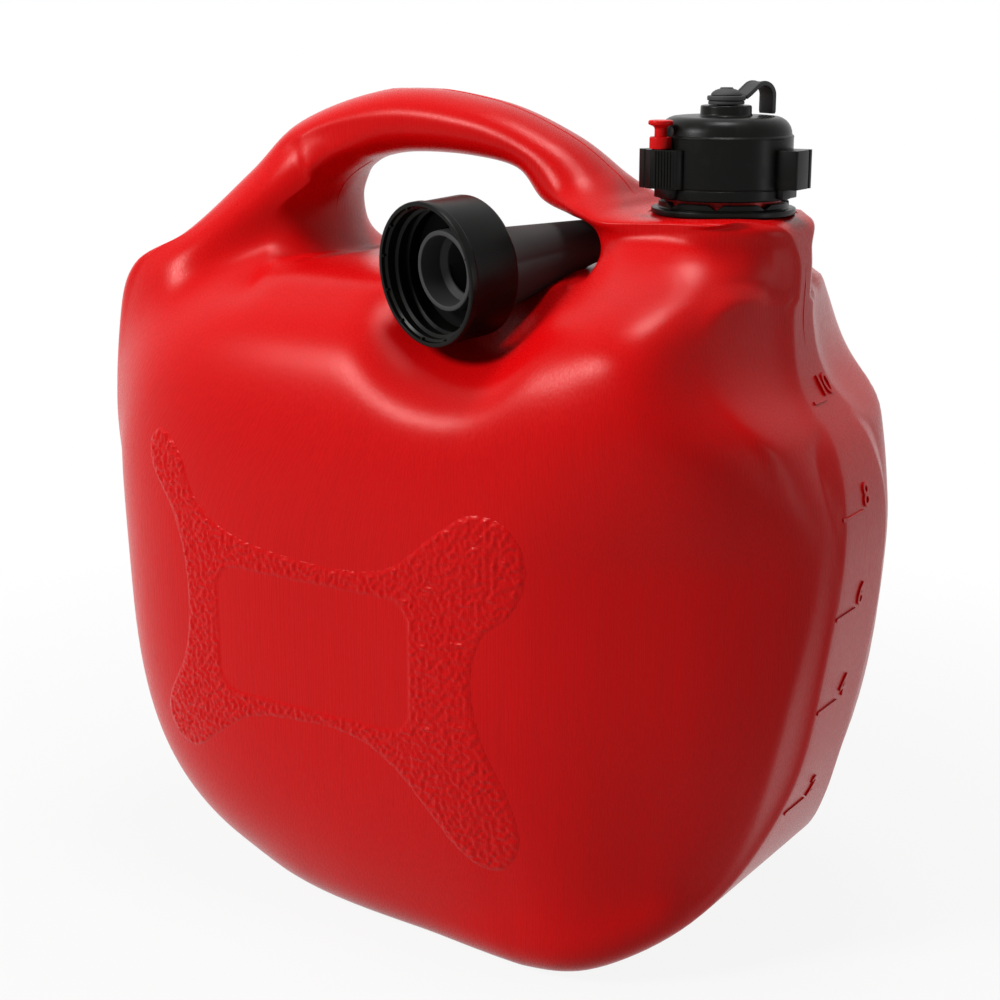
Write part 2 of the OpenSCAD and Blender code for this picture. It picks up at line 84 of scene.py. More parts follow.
# Spout, along its own axis from the collar's mouth
SPOUT_X, SPOUT_Z, SPOUT_IN, SPOUT_YAW, SPOUT_TILT = 39.0, 253.6, 78.0, 15.7, 4.6
COLLAR_R, COLLAR_L, COLLAR_BORE_R = 25.0, 22.0, 22.4

# Threads: low and high end, pitch, width at the foot and at the crest, height
NECK_THREAD = (274.5, 289.5, 6.0, 2.2, 0.9, 0.5)
COLLAR_THREAD = (3.6, 14.2, 4.9, 2.3, 0.8, 1.15)
THREAD_SINK, THREAD_STEPS, THREAD_LEAD = 0.4, 64, 8

# Cushion of the skin: powers of its outline to the rear and front, and of its bulge on flank and end
HIGH_POWERS, LOW_POWERS, BULGE_POWERS = (4.5, 9), (2.8, 2.3), (4, 2.2)
# How far it stays short of either end, low down and high up
REAR_SHORT, FRONT_SHORT, NOSE_PAST = (6.5, 1.5), (2, 1), 10
# Extra height beside the tower, and room inside the solid's width for the grained fields
TOWER_RISE, FIELD_PROUD = 4, 1.35
# Spread of the tower's foot, and rise, reach to the rear and front, and slope of the channel's banks
FLARE, FLARE_DROP, FLARE_POWER = 26, 30, 2.2
BANK_RISE, BANK_REACH, CHANNEL_SLOPE = 18, (36, 25), 0.5

# Zones over which a form of the skin comes in, along X or Z or a line of the mould
FRONT_LEAN, REAR_LEAN, NOSE_LEAN = (70, 170), (60, 190), (SHELF_Z - 94, SHELF_Z - 19)
RISE_ZONE, BULGE_ZONE, BULGE_TOP = (45, 85), (-20, 110), (SHELF_Z - 94, SHELF_Z - 24)
FLARE_START, FLARE_STOP = (52, 80), (NOSE_X - 16, NOSE_X + 2)
FLARE_FOOT = (SHELF_Z - 44, SHELF_Z - 19)
WIDENING, CRISP_ZONE, SHOULDER_ZONE = (0.02, 0.52), (NOSE_X - 14, NOSE_X - 6), (50, 90)
UPPER_ZONE, HANDLE_ZONE, SOFT_ZONE = (165, 205), (-92, -62), (160, 195)
SOFT_OUT, SOFT_IN, SOFT_TOP = (2, 16), (1, 10), (12, 3)

# Blends between the forms, each low down and high up or to the rear and beside the tower
CHANNEL_BLEND, SHOULDER_BLEND, HIP_BLEND = 16, (14, 28), (5, 10)
# Hip beside the crisp edge of the strip: its slope by the edge, then its steep part and where that starts
HIP_SLOPE, HIP_STEEP, HIP_START, HIP_ROUND = 0.5, (8, 3.2), (4, 1), 3
EDGE_POWER, EDGE_STEP, EDGE_ROUND, BOW, TINY = 2.1, 2.5, 3.0, 2.2, 0.01
HANDLE_RISE = 36

# Grid of a mould half: lines for each station, rows, samples behind them, and crowding towards the outline
LINES, ROWS, SAMPLES, CROWDING = 10, 100, 600, 1.3
# Columns across the strip, and how far the looks' inner wall lies inside the solid's
STRIP_COLUMNS, INNER_GAP = 8, 2.6


def smooth_max(a, b, k):
    return np.maximum(a, b) + np.maximum(k - np.abs(a - b), 0) ** 2 / (4 * k)


def smooth_min(a, b, k):
    return -smooth_max(-a, -b, k)


def ease(t):
    return t * t * (3 - 2 * t)


def step_up(v, a, b):
    return ease(np.clip((v - a) / (b - a), 0, 1))


def mix(a, b, t):
    return a + (b - a) * t


def reach(x, z, t):
    """Length of the body from its middle to either end, drawn in under the nose."""
    end = END_X - mix(*FRONT_SHORT, step_up(z, *FRONT_LEAN))
    drawn_in = mix(end, NOSE_X + NOSE_PAST, step_up(z, *NOSE_LEAN))
    return np.where(x < 0, END_X - mix(*REAR_SHORT, step_up(z, *REAR_LEAN)), drawn_in) - t


def roof(x):
    """Height of the body's top."""
    n = np.where(x < 0, *HIGH_POWERS)
    return MID_Z + RISE_Z * np.maximum(1 - (np.abs(x) / reach(x, SHELF_Z, 0)) ** n, 0) ** (1 / n)


def body_half(x, z, t):
    """Half-width of the cushion-shaped body, a little higher beside the tower."""
    rise = RISE_Z + np.where(z < MID_Z, 0, TOWER_RISE) * step_up(x, *RISE_ZONE)
    n = np.where(z < MID_Z, np.where(x < 0, *LOW_POWERS), np.where(x < 0, *HIGH_POWERS))
    m = mix(*BULGE_POWERS, step_up(x, *BULGE_ZONE) * (1 - step_up(z, *BULGE_TOP)))
    e = ((np.abs(x) / reach(x, z, t)) ** n + (np.abs(z - MID_Z) / (rise - t)) ** n) ** (1 / n)
    v = 1 - e ** m
    return (TANK_W / 2 - FIELD_PROUD - t) * np.sign(v) * np.abs(v) ** (1 / m)


def flare(x, z):
    """Spread of the tower's foot over the shoulder."""
    place = step_up(x, *FLARE_START) * (1 - step_up(x, *FLARE_STOP)) * step_up(z, *FLARE_FOOT)
    return FLARE * place * np.clip((TOWER_Z - 2 - z) / FLARE_DROP, 0, 1) ** FLARE_POWER


def channel_half(x, z, t):
    """Half-width that the spout's channel leaves."""
    bank = BANK_RISE * (np.abs(x - CHANNEL_X) / np.where(x < CHANNEL_X, *BANK_REACH)) ** 3
    return (CHANNEL_Z + bank - z) / CHANNEL_SLOPE + CHANNEL_Y - t * math.hypot(1, 1 / CHANNEL_SLOPE)


def shelf(x):
    return (x, float(roof(np.array(float(x)))))


# Gap's rim, side outline, half-width and round there, half-widths inside and outside, round at the gap
STATIONS = np.array([
    (*rim, *out, *shape) for rim, out, shape in (
        ((-36, GAP_TOP + 0.5), (-45, CROWN_Z), (0, 12, GRIP, GRIP, 12)),
        ((-10, GAP_TOP), (-2, CROWN_Z - 3.5), (0, 11, GRIP, GRIP, 11)),
        ((12, GAP_TOP - 4), (30, CROWN_Z - 15), (0, 12, GRIP, GRIP, 12)),
        ((23, GAP_TOP - 14.5), (50, TOWER_Z + 12), (0, 15, GRIP + 2, GRIP + 3, 15)),
        ((GAP_FRONT - 16, TOWER_Z - 3), (NECK_X - 34, TOWER_Z + 4.5), (10, 13, TOWER - 7, TOWER - 4, 15)),
        ((GAP_FRONT - 6, TOWER_Z - 5.5), (NECK_X - 22, TOWER_Z), (22, 11, TOWER - 3, TOWER, 16)),
        ((GAP_FRONT - 1, TOWER_Z - 11), (NOSE_X - 9, TOWER_Z), (19, 12, TOWER - 1, TOWER, 16)),
        ((GAP_FRONT, TOWER_Z - 16), (NOSE_X - 0.5, TOWER_Z - 12), (NOSE, 16, TOWER, TOWER, 16)),
        ((GAP_FRONT - 2, SHELF_Z + 1), (NOSE_X, SHELF_Z - 15), (NOSE, 18, TOWER, TOWER + 4, 16)),
        (shelf(GAP_FRONT - 9), (NOSE_X + 5, SHELF_Z - 34), (NOSE + 3, 18, 18, TOWER + 8, 16)),
        (shelf(GAP_FRONT - 17), (END_X - 6, SHELF_Z - 55), (STRIP - 4, 14, 8, STRIP + 14, 14)),
        (shelf(GAP_FRONT - 25), (END_X, SHELF_Z - 84), (STRIP - 1, 10, 8, STRIP + 8, 14)),
        (shelf(19), (END_X - 4.5, 114), (STRIP, 7, 8, STRIP + 3, 14)),
        (shelf(10), (END_X - 15, 66), (STRIP + 1, 7, 16, STRIP + 4, 14)),
        (shelf(2), (END_X - 34, 27), (BASE - 22, 12, 30, BASE - 12, 14)),
        (shelf(-5), (END_X - 62, 6.5), (BASE - 2, 14, 30, BASE + 11, 14)),
        (shelf(-12), (END_X - 92, 0), (BASE + 3, 15, 30, BASE + 16, 14)),
        (shelf(-21), (12, 0), (BASE, 16, 30, BASE + 12, 14)),
        (shelf(-30), (-30, 0), (BASE - 6, 17, 30, BASE + 8, 14)),
        (shelf(-38), (95 - END_X, 0), (BASE - 16, 18, 30, BASE + 2, 14)),
        (shelf(-45), (61 - END_X, 6.5), (BASE - 30, 16, 30, BASE - 16, 14)),
        (shelf(-52), (31 - END_X, 27), (BASE - 38, 14, 30, BASE - 26, 14)),
        (shelf(-59), (11 - END_X, 67), (STRIP + 3, 8, 30, STRIP + 8, 14)),
        ((9 - GAP_REAR, SHELF_Z - 2), (2 - END_X, 114), (STRIP + 8, 14, 30, STRIP + 20, 14)),
        ((3 - GAP_REAR, SHELF_Z + 4), (0.2 - END_X, SHELF_Z - 76), (STRIP + 18, 20, 30, STRIP + 38, 16)),
        ((-GAP_REAR, SHELF_Z + 12), (2 - END_X, SHELF_Z - 32), (STRIP + 22, 22, 30, STRIP + 38, 18)),
        ((1 - GAP_REAR, SHELF_Z + 20), (9.5 - END_X, SHELF_Z - 8),
         (STRIP + 18, 18, GRIP + 9, STRIP + 36, 18)),
        ((6 - GAP_REAR, GAP_TOP - 11.5), (27.5 - END_X, SHELF_Z + 4),
         (STRIP + 8, 16, GRIP + 3, STRIP + 24, 16)),
        ((14 - GAP_REAR, GAP_TOP - 6), (43 - END_X, SHELF_Z + 29), (6, 15, GRIP, GRIP + 8, 14)),
        ((24 - GAP_REAR, GAP_TOP - 2), (-87.5, CROWN_Z - 12.5), (0, 13, GRIP, GRIP + 1, 12)),
    )], float)


def through(points, steps):
    """Closed smooth curve through rows of numbers, with this many steps between two."""
    b = np.asarray(points, float)
    a, c, d = np.roll(b, 1, 0), np.roll(b, -1, 0), np.roll(b, -2, 0)
    parts = [0.5 * (2 * b + (c - a) * u + (2 * a - 5 * b + 4 * c - d) * u ** 2
                    + (3 * b - a - 3 * c + d) * u ** 3) for u in np.arange(steps) / steps]
    return np.stack(parts, 1).reshape(-1, b.shape[1])


def across(points):
    """Unit vectors to the right of a closed flat curve."""
    along = np.roll(points, -1, 0) - np.roll(points, 1, 0)
    return np.stack([along[:, 1], -along[:, 0]], 1) / np.linalg.norm(along, axis=1)[:, None]


def mould_lines(per_station, t=0.0):
    """Lines from the gap's rim to the outline, on closed curves through the stations, inset by t."""
    lines = through(STATIONS, per_station)
    rim, out = across(lines[:, 0:2]), across(lines[:, 2:4])
    lines[:, 0:2] -= t * rim
    lines[:, 2:4] += t * out
    lines[:, 3] = np.maximum(lines[:, 3], t)
    return lines


def rounded_edge(distance, depth):
    return (1 - (1 - np.minimum(distance / depth, 1)) ** EDGE_POWER) ** (1 / EDGE_POWER)


def softened(x, z, half, weight, cell=2.0, blur=7.0, start=160, cells=164, spread=10):
    """Half-widths drawn by a weight towards the mean of their surroundings."""
    u, v = (x + start) / cell, z / cell
    i, j = np.rint(u).astype(int), np.rint(v).astype(int)
    total, count = np.zeros((cells, cells)), np.zeros((cells, cells))
    np.add.at(total, (i, j), half)
    np.add.at(count, (i, j), 1)
    mean, known = total / np.maximum(count, 1), np.minimum(count, 1)
    kernel = np.exp(-0.5 * (np.arange(-spread, spread + 1) * cell / blur) ** 2)
    for axis in (0, 1):
        mean, known = (np.apply_along_axis(np.convolve, axis, grid, kernel, "same") for grid in (mean, known))
    mean /= np.maximum(known, 1e-9)
    i, j = np.floor(u).astype(int), np.floor(v).astype(int)
    a, b = u - i, v - j
    level = mix(mix(mean[i, j], mean[i + 1, j], a), mix(mean[i, j + 1], mean[i + 1, j + 1], a), b)
    return mix(half, level, weight)


def mould_half(t):
    """Points of the front mould half, closer towards the outline: lines by rows by three coordinates."""
    gap_x, gap_z, out_x, out_z, land, out_round, inner, outer, gap_round = mould_lines(LINES, t).T[..., None]
    s = (0.5 - 0.5 * np.cos(np.pi * np.arange(SAMPLES + 1) / SAMPLES))[None, :]
    x, z = mix(gap_x, out_x, s), mix(gap_z, out_z, s)
    length = np.hypot(out_x - gap_x, out_z - gap_z)
    inward, away = s * length, (1 - s) * length

    full = mix(inner, outer, step_up(s, *WIDENING)) + flare(x, z + t) - t
    edge = np.minimum(np.maximum(land - t, 0), full)
    crisp = step_up(out_x + t, *CRISP_ZONE)
    near = full * rounded_edge(inward, gap_round - t)
    bow = 1 - (1 - np.minimum(away / (BOW * out_round), 1)) ** 2
    far = edge + (full - edge) * mix(rounded_edge(away, out_round - t), bow, crisp)
    low = np.minimum(near, far) < TINY
    near, far = np.maximum(near, TINY), np.maximum(far, TINY)
    band = np.minimum(full, np.maximum(near ** -3 + far ** -3 - full ** -3, full ** -3) ** (-1 / 3))
    band = np.where(low, 0, band)
    cushion = smooth_min(body_half(x, z, t), channel_half(x, z, t), CHANNEL_BLEND)
    half = smooth_max(band, cushion, mix(*SHOULDER_BLEND, step_up(x, *SHOULDER_ZONE)))

    upper = step_up(z, *UPPER_ZONE)
    steep = smooth_max(away - mix(*HIP_START, upper), 0, HIP_ROUND)
    hip = edge + HIP_SLOPE * away + mix(*HIP_STEEP, upper) * steep
    half = mix(half, smooth_min(half, hip, mix(*HIP_BLEND, upper)), crisp)
    top = TOWER_Z + HANDLE_RISE * (1 - step_up(x, *HANDLE_ZONE))
    place = step_up(z, *SOFT_ZONE) * (1 - step_up(z, top - SOFT_TOP[0], top - SOFT_TOP[1]))
    half = softened(x, z, half, place * step_up(away, *SOFT_OUT) * step_up(inward, *SOFT_IN))
    half = np.maximum(half - EDGE_STEP * crisp * (1 - rounded_edge(away, EDGE_ROUND)), LAND)

    dense = np.stack([x, -half, z], -1)
    dense = np.concatenate([dense[:, :1] * (1, 0, 1), dense], 1)
    run = np.cumsum(np.linalg.norm(np.diff(dense, axis=1, prepend=dense[:, :1]), axis=2), axis=1)
    spaced = 1 - np.linspace(1, 0, ROWS + 1) ** CROWDING
    return np.array([
        np.stack([np.interp(way[-1] * spaced, way, line[:, axis]) for axis in range(3)], 1)
        for way, line in zip(run, dense)])


# Mesh helpers: shapes are gathered as points in millimetres and faces

class Shape:
    """Points and faces gathered for one piece."""

    def __init__(self):
        self.points, self.faces, self.count = [], [], 0

    def add(self, points, faces):
        points = np.asarray(points, float).reshape(-1, 3)
        self.points.append(points)
        self.faces += [tuple(int(v) + self.count for v in face) for face in faces]
        self.count += len(points)
        return self

    def moved(self, matrix):
        for i, p in enumerate(self.points):
            self.points[i] = p @ np.array(matrix.to_3x3()).T + np.array(matrix.translation)
        return self

    def mesh(self, name):
        data = bpy.data.meshes.new(name)
        data.from_pydata((np.concatenate(self.points) * MM).tolist(), [], self.faces)
        bm = bmesh.new()
        bm.from_mesh(data)
        bmesh.ops.remove_doubles(bm, verts=bm.verts, dist=2e-6)
        bmesh.ops.dissolve_degenerate(bm, edges=bm.edges, dist=1e-7)
        bmesh.ops.recalc_face_normals(bm, faces=bm.faces)
        bm.to_mesh(data)
        bm.free()
        return data


def grid_faces(rows, columns, wrap_rows=False, wrap_columns=False):
    """Quads of a grid of points, closed along the wrapped ways."""
    faces = []
    for i in range(rows if wrap_rows else rows - 1):
        for j in range(columns if wrap_columns else columns - 1):
            i2, j2 = (i + 1) % rows, (j + 1) % columns
            faces.append((i * columns + j, i * columns + j2, i2 * columns + j2, i2 * columns + j))
    return faces


def rounded(corners, steps=5):
    """Closed outline through (a, b, radius) corners, with each corner turned on its radius."""
    outline = []
    count = len(corners)
    for i, (a, b, r) in enumerate(corners):
        p = np.array((a, b), float)
        if r <= 0:
            outline.append(p)
            continue
        before = np.array(corners[i - 1][:2], float) - p
        after = np.array(corners[(i + 1) % count][:2], float) - p
        u, v = before / np.linalg.norm(before), after / np.linalg.norm(after)
        half = math.acos(max(-1, min(1, float(u @ v)))) / 2
        back = min(r / math.tan(half), 0.49 * np.linalg.norm(before), 0.49 * np.linalg.norm(after))
        middle = (u + v) / np.linalg.norm(u + v)
        centre = p + middle * back / math.cos(half)
        start, end = p + u * back - centre, p + v * back - centre
        turn = math.atan2(start[0] * end[1] - start[1] * end[0], float(start @ end))
        for k in range(steps + 1):
            c, s = math.cos(turn * k / steps), math.sin(turn * k / steps)
            outline.append(centre + np.array((start[0] * c - start[1] * s, start[0] * s + start[1] * c)))
    return np.array(outline)


def lathe(outline, steps=96, wrap=True):
    """Shape of an outline of (radius, height) points turned about the upright axis."""
    outline = np.asarray(outline, float)
    turn = 2 * np.pi * np.arange(steps) / steps
    points = np.stack([
        outline[None, :, 0] * np.cos(turn)[:, None], outline[None, :, 0] * np.sin(turn)[:, None],
        np.broadcast_to(outline[None, :, 1], (steps, len(outline)))], -1)
    return Shape().add(points, grid_faces(steps, len(outline), True, wrap))


def prism(outline, low, high):
    """Shape of a flat outline drawn upwards between two heights."""
    count = len(outline)
    points = [(*p, low) for p in outline] + [(*p, high) for p in outline]
    faces = [tuple(range(count))[::-1], tuple(range(count, 2 * count))]
    faces += [(i, (i + 1) % count, count + (i + 1) % count, count + i) for i in range(count)]
    return Shape().add(points, faces)


def swept(rings):
    """Shape through a row of rings with as many points each, closed at both ends."""
    count, size = len(rings), len(rings[0])
    last = size * (count - 1)
    faces = grid_faces(count, size, False, True)
    faces += [tuple(range(size))[::-1], tuple(range(last, last + size))]
    return Shape().add(rings, faces)


def helix_ridge(radius, outwards, low, high, pitch, foot, crest, height):
    """Thread ridge on a round wall, tapered away at both ends."""
    turns = (high - low) / pitch
    steps = int(turns * THREAD_STEPS)
    rings = []
    for i in range(steps + 1):
        share = i / steps
        turn = 2 * math.pi * turns * share
        rise = height * min(1, share * turns * THREAD_LEAD, (1 - share) * turns * THREAD_LEAD)
        section = ((-THREAD_SINK, -foot / 2), (rise, -crest / 2), (rise, crest / 2), (-THREAD_SINK, foot / 2))
        z = low + (high - low) * share
        wall = [(radius + outwards * d, z + h) for d, h in section]
        rings.append([(r * math.cos(turn), r * math.sin(turn), up) for r, up in wall])
    return swept(rings)


def coil(radius, wire, low, high, turns, steps_per_turn=28, sides=8):
    """Spring wire wound upwards, closed at both ends."""
    steps = int(turns * steps_per_turn)
    rings = []
    for i in range(steps + 1):
        turn = 2 * math.pi * turns * i / steps
        z = low + wire + (high - low - 2 * wire) * i / steps
        ring = []
        for k in range(sides):
            a = 2 * math.pi * k / sides
            r = radius + wire * math.cos(a)
            ring.append((r * math.cos(turn), r * math.sin(turn), z + wire * math.sin(a)))
        rings.append(ring)
    return swept(rings)


def shape_of(mesh):
    """Shape of a finished mesh, in millimetres."""
    points = np.array([v.co[:] for v in mesh.vertices]) / MM
    return Shape().add(points, [tuple(p.vertices) for p in mesh.polygons])


def gather(*shapes):
    whole = Shape()
    for shape in shapes:
        whole.add(np.concatenate(shape.points), shape.faces)
    return whole


def linked(name, mesh):
    piece = bpy.data.objects.new(name, mesh)
    bpy.context.scene.collection.objects.link(piece)
    return piece


def settle(piece):
    """Turns the piece's modifiers into its own mesh."""
    bpy.context.view_layer.update()
    graph = bpy.context.evaluated_depsgraph_get()
    mesh = bpy.data.meshes.new_from_object(piece.evaluated_get(graph))
    piece.modifiers.clear()
    piece.data = mesh
    mesh.name = piece.name
    return piece


def carve(piece, cutter_shape):
    """Cuts a closed shape out of a piece."""
    cutter = linked("cutter", cutter_shape.mesh("cutter"))
    cut = piece.modifiers.new("carve", "BOOLEAN")
    cut.operation = "DIFFERENCE"
    cut.solver = "MANIFOLD"
    cut.object = cutter
    before = len(piece.data.polygons)
    settle(piece)
    bpy.data.objects.remove(cutter)
    if len(piece.data.polygons) in (0, before):
        raise RuntimeError(f"{piece.name}: the cut changed nothing")
    return piece


def taken(piece):
    """Shape of a piece that is then removed."""
    shape = shape_of(piece.data)
    bpy.data.objects.remove(piece)
    return shape


def soften(piece, width, segments=2, angle=40):
    edge = piece.modifiers.new("soften", "BEVEL")
    edge.width = width * MM
    edge.segments = segments
    edge.limit_method = "ANGLE"
    edge.angle_limit = math.radians(angle)
    return settle(piece)


def finish_piece(piece, material, body, slot, *nodes, sharp=32):
    """Shades a piece, gives it its finish and puts it on its body in place of the CAD nodes."""
    mesh = piece.data
    mesh.materials.clear()
    mesh.materials.append(material)
    mesh.polygons.foreach_set("use_smooth", [True] * len(mesh.polygons))
    mesh.polygons.foreach_set("material_index", [0] * len(mesh.polygons))
    mesh.set_sharp_from_angle(angle=math.radians(sharp))
    mesh.update()
    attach(piece, body)
    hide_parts(*nodes)
    return piece


def piece_of(name, shape, finish, body, slot, *nodes, sharp=32):
    """A finished piece made from a shape."""
    return finish_piece(linked(name, shape.mesh(name)), finish_named(finish), body, slot, *nodes, sharp=sharp)


def tank_piece(piece, sharp=32):
    """Gives a piece of the tank its streaks and finish."""
    set_flow(piece.data)
    return finish_piece(piece, finish_named("moulded_red"), "tank", "red_tank", "tank_body", sharp=sharp)


# Gathering of the streaks towards the channel: its zones of height and half-width, how strong it is to the rear
# and front of the channel, and how far it reaches
FLOW_Z, FLOW_Y, FLOW_PULL, FLOW_REACH = (140, 236), (8, 40), (1.1, 0.28), 110


def set_flow(mesh):
    """Stores the places that the streaks follow: upright, and gathered towards the spout's channel."""
    place = np.empty(len(mesh.vertices) * 3, np.float32)
    mesh.vertices.foreach_get("co", place)
    place = place.reshape(-1, 3)
    x, y, z = (place / MM).T
    pull = step_up(z, *FLOW_Z) * step_up(np.abs(y), *FLOW_Y)
    side = np.where(x < CHANNEL_X, *FLOW_PULL)
    away = np.exp(-np.abs(x - CHANNEL_X) / FLOW_REACH)
    flow = place.copy()
    flow[:, 0] = (CHANNEL_X + (x - CHANNEL_X) * (1 + pull * side * away)) * MM
    mesh.attributes.new("flow", "FLOAT_VECTOR", "POINT").data.foreach_set("vector", flow.ravel())


# Finishes

class Nodes:
    """Short calls for building a node tree."""

    def __init__(self, tree):
        self.tree = tree

    def feed(self, socket, value):
        if isinstance(value, bpy.types.NodeSocket):
            self.tree.links.new(value, socket)
        else:
            socket.default_value = value

    def add(self, kind, values=None, **settings):
        node = self.tree.nodes.new(kind)
        for name, value in settings.items():
            setattr(node, name, value)
        for name, value in (values or {}).items():
            self.feed(node.inputs[name], value)
        return node

    def noise(self, place, scale, detail, roughness=0.55, distortion=0.0):
        return self.add("ShaderNodeTexNoise", {
            "Vector": place, "Scale": scale, "Detail": detail, "Roughness": roughness,
            "Distortion": distortion}).outputs["Fac"]

    def spread(self, value, low, high, from_low=0.0, from_high=1.0):
        return self.add("ShaderNodeMapRange", {
            "Value": value, "From Min": from_low, "From Max": from_high, "To Min": low,
            "To Max": high}).outputs["Result"]

    def sums(self, operation, a, b):
        return self.add("ShaderNodeMath", {0: a, 1: b}, operation=operation).outputs[0]

    def blend(self, factor, a, b):
        return self.add("ShaderNodeMix", {0: factor, 6: a, 7: b}, data_type="RGBA").outputs[2]


def tint(colour, factor):
    return (*(min(1.0, c * factor) for c in colour), 1.0)


def new_finish(name):
    material = bpy.data.materials.new(name)
    material.use_nodes = True
    tree = material.node_tree
    tree.nodes.clear()
    nodes = Nodes(tree)
    shader = nodes.add("ShaderNodeBsdfPrincipled")
    output = nodes.add("ShaderNodeOutputMaterial")
    tree.links.new(shader.outputs["BSDF"], output.inputs["Surface"])
    return material, nodes, shader


def connect(nodes, shader, colour, roughness, height, distance):
    normal = nodes.add("ShaderNodeBump", {"Height": height, "Distance": distance}).outputs["Normal"]
    for name, socket in (("Base Color", colour), ("Roughness", roughness), ("Normal", normal)):
        nodes.tree.links.new(socket, shader.inputs[name])


# Tank's finish: specular level and tint, stretch of the streaks, scales of its noises, shades and roughness
RED_LEVEL, RED_TINT, STREAK_STRETCH = 0.2, (1, 0.5, 0.47, 1), (1, 1, 0.012)
FINE_SCALE, BAND_SCALE, MOTTLE_SCALE, GRAIN_SCALE = 2000, 170, 14, 2600
FINE_SHARE, GRAIN_SHARE, MOTTLE_SHARE, CONTRAST = 0.82, 0.16, 0.35, (0.3, 0.7)
DARK_STREAK, PALE_STREAK, DARK_MOTTLE, RED_ROUGH, MOTTLE_ROUGH = 0.87, 1.05, 0.88, (0.2, 0.36), 0.03


def moulded_red(colour, streak_depth):
    """Satin polyethylene with fine drawn streaks, broader bands and a faint mottle."""
    material, nodes, shader = new_finish("moulded_red")
    shader.inputs["Specular IOR Level"].default_value = RED_LEVEL
    shader.inputs["Specular Tint"].default_value = RED_TINT
    place = nodes.add("ShaderNodeAttribute", attribute_name="flow").outputs["Vector"]
    drawn = nodes.add("ShaderNodeMapping", {"Vector": place, "Scale": STREAK_STRETCH}).outputs["Vector"]
    fine = nodes.noise(drawn, FINE_SCALE, 3, 0.7)
    bands = nodes.noise(drawn, BAND_SCALE, 2, 0.5)
    mottle = nodes.noise(place, MOTTLE_SCALE, 3, 0.5)
    grain = nodes.noise(place, GRAIN_SCALE, 2, 0.5)
    streaks = nodes.sums("ADD", nodes.sums("MULTIPLY", fine, FINE_SHARE),
                         nodes.sums("MULTIPLY", bands, 1 - FINE_SHARE))
    shade = nodes.blend(nodes.spread(streaks, 0, 1, *CONTRAST), tint(colour, DARK_STREAK),
                        tint(colour, PALE_STREAK))
    shade = nodes.blend(nodes.spread(mottle, 0, MOTTLE_SHARE, 0.35, 0.7), shade, tint(colour, DARK_MOTTLE))
    rough = nodes.sums("ADD", nodes.spread(fine, *RED_ROUGH, *CONTRAST),
                       nodes.spread(mottle, -MOTTLE_ROUGH, MOTTLE_ROUGH))
    height = nodes.sums("ADD", streaks, nodes.sums("MULTIPLY", grain, GRAIN_SHARE))
    connect(nodes, shader, shade, rough, height, streak_depth)
    return material


# Trim: setting with its colour, roughness, scale and depth of its grain, tint where rubbed, specular level
TRIM = {
    "lock_red": ("lock_colour", 0.34, 1500, 0.000008, 1.08, 0.12),
    "cap_black": ("black", 0.3, 2200, 0.00002, 1.8, 0.1),
    "soft_black": ("soft_black", 0.46, 1600, 0.000016, 1.6, 0.03),
    "seal_black": ("soft_black", 0.7, 1200, 0.00003, 1.4, 0.12),
}
PATCH_SCALE, RUBBED, GRAIN_ROUGH, RUBBED_ROUGH = 120, (0.52, 0.72), 0.06, 0.08


def trim_plastic(name, colour, rough, grain_scale, grain_depth, scuff, level):
    """Moulded trim with a fine grain and faint rubbed patches."""
    material, nodes, shader = new_finish(name)
    shader.inputs["Specular IOR Level"].default_value = level
    place = nodes.add("ShaderNodeTexCoord").outputs["Object"]
    grain = nodes.noise(place, grain_scale, 3, 0.6)
    rubbed = nodes.spread(nodes.noise(place, PATCH_SCALE, 5, 0.65, 0.4), 0, 1, *RUBBED)
    shade = nodes.blend(rubbed, tint(colour, 1.0), tint(colour, scuff))
    roughness = nodes.sums("ADD", nodes.spread(grain, rough - GRAIN_ROUGH, rough + GRAIN_ROUGH),
                           nodes.sums("MULTIPLY", rubbed, RUBBED_ROUGH))
    connect(nodes, shader, shade, roughness, grain, grain_depth)
    return material


def spring_wire():
    material, nodes, shader = new_finish("spring_wire")
    shader.inputs["Metallic"].default_value = 1.0
    place = nodes.add("ShaderNodeTexCoord").outputs["Object"]
    drawn = nodes.noise(place, 3000, 2)
    shade = nodes.blend(drawn, (0.5, 0.5, 0.52, 1), (0.68, 0.68, 0.7, 1))
    connect(nodes, shader, shade, nodes.spread(drawn, 0.25, 0.4), drawn, 0.00001)
    return material


def finish_named(name):
    """The finish with this name, made on its first use."""
    scene = bpy.context.scene
    if name in bpy.data.materials:
        return bpy.data.materials[name]
    if name == "moulded_red":
        return moulded_red(scene.can_tank.colour, scene.can_tank.streak_depth)
    if name in TRIM:
        colour, *look = TRIM[name]
        return trim_plastic(name, getattr(scene.can_trim, colour), *look)
    return spring_wire()


# Repeated details, as node trees

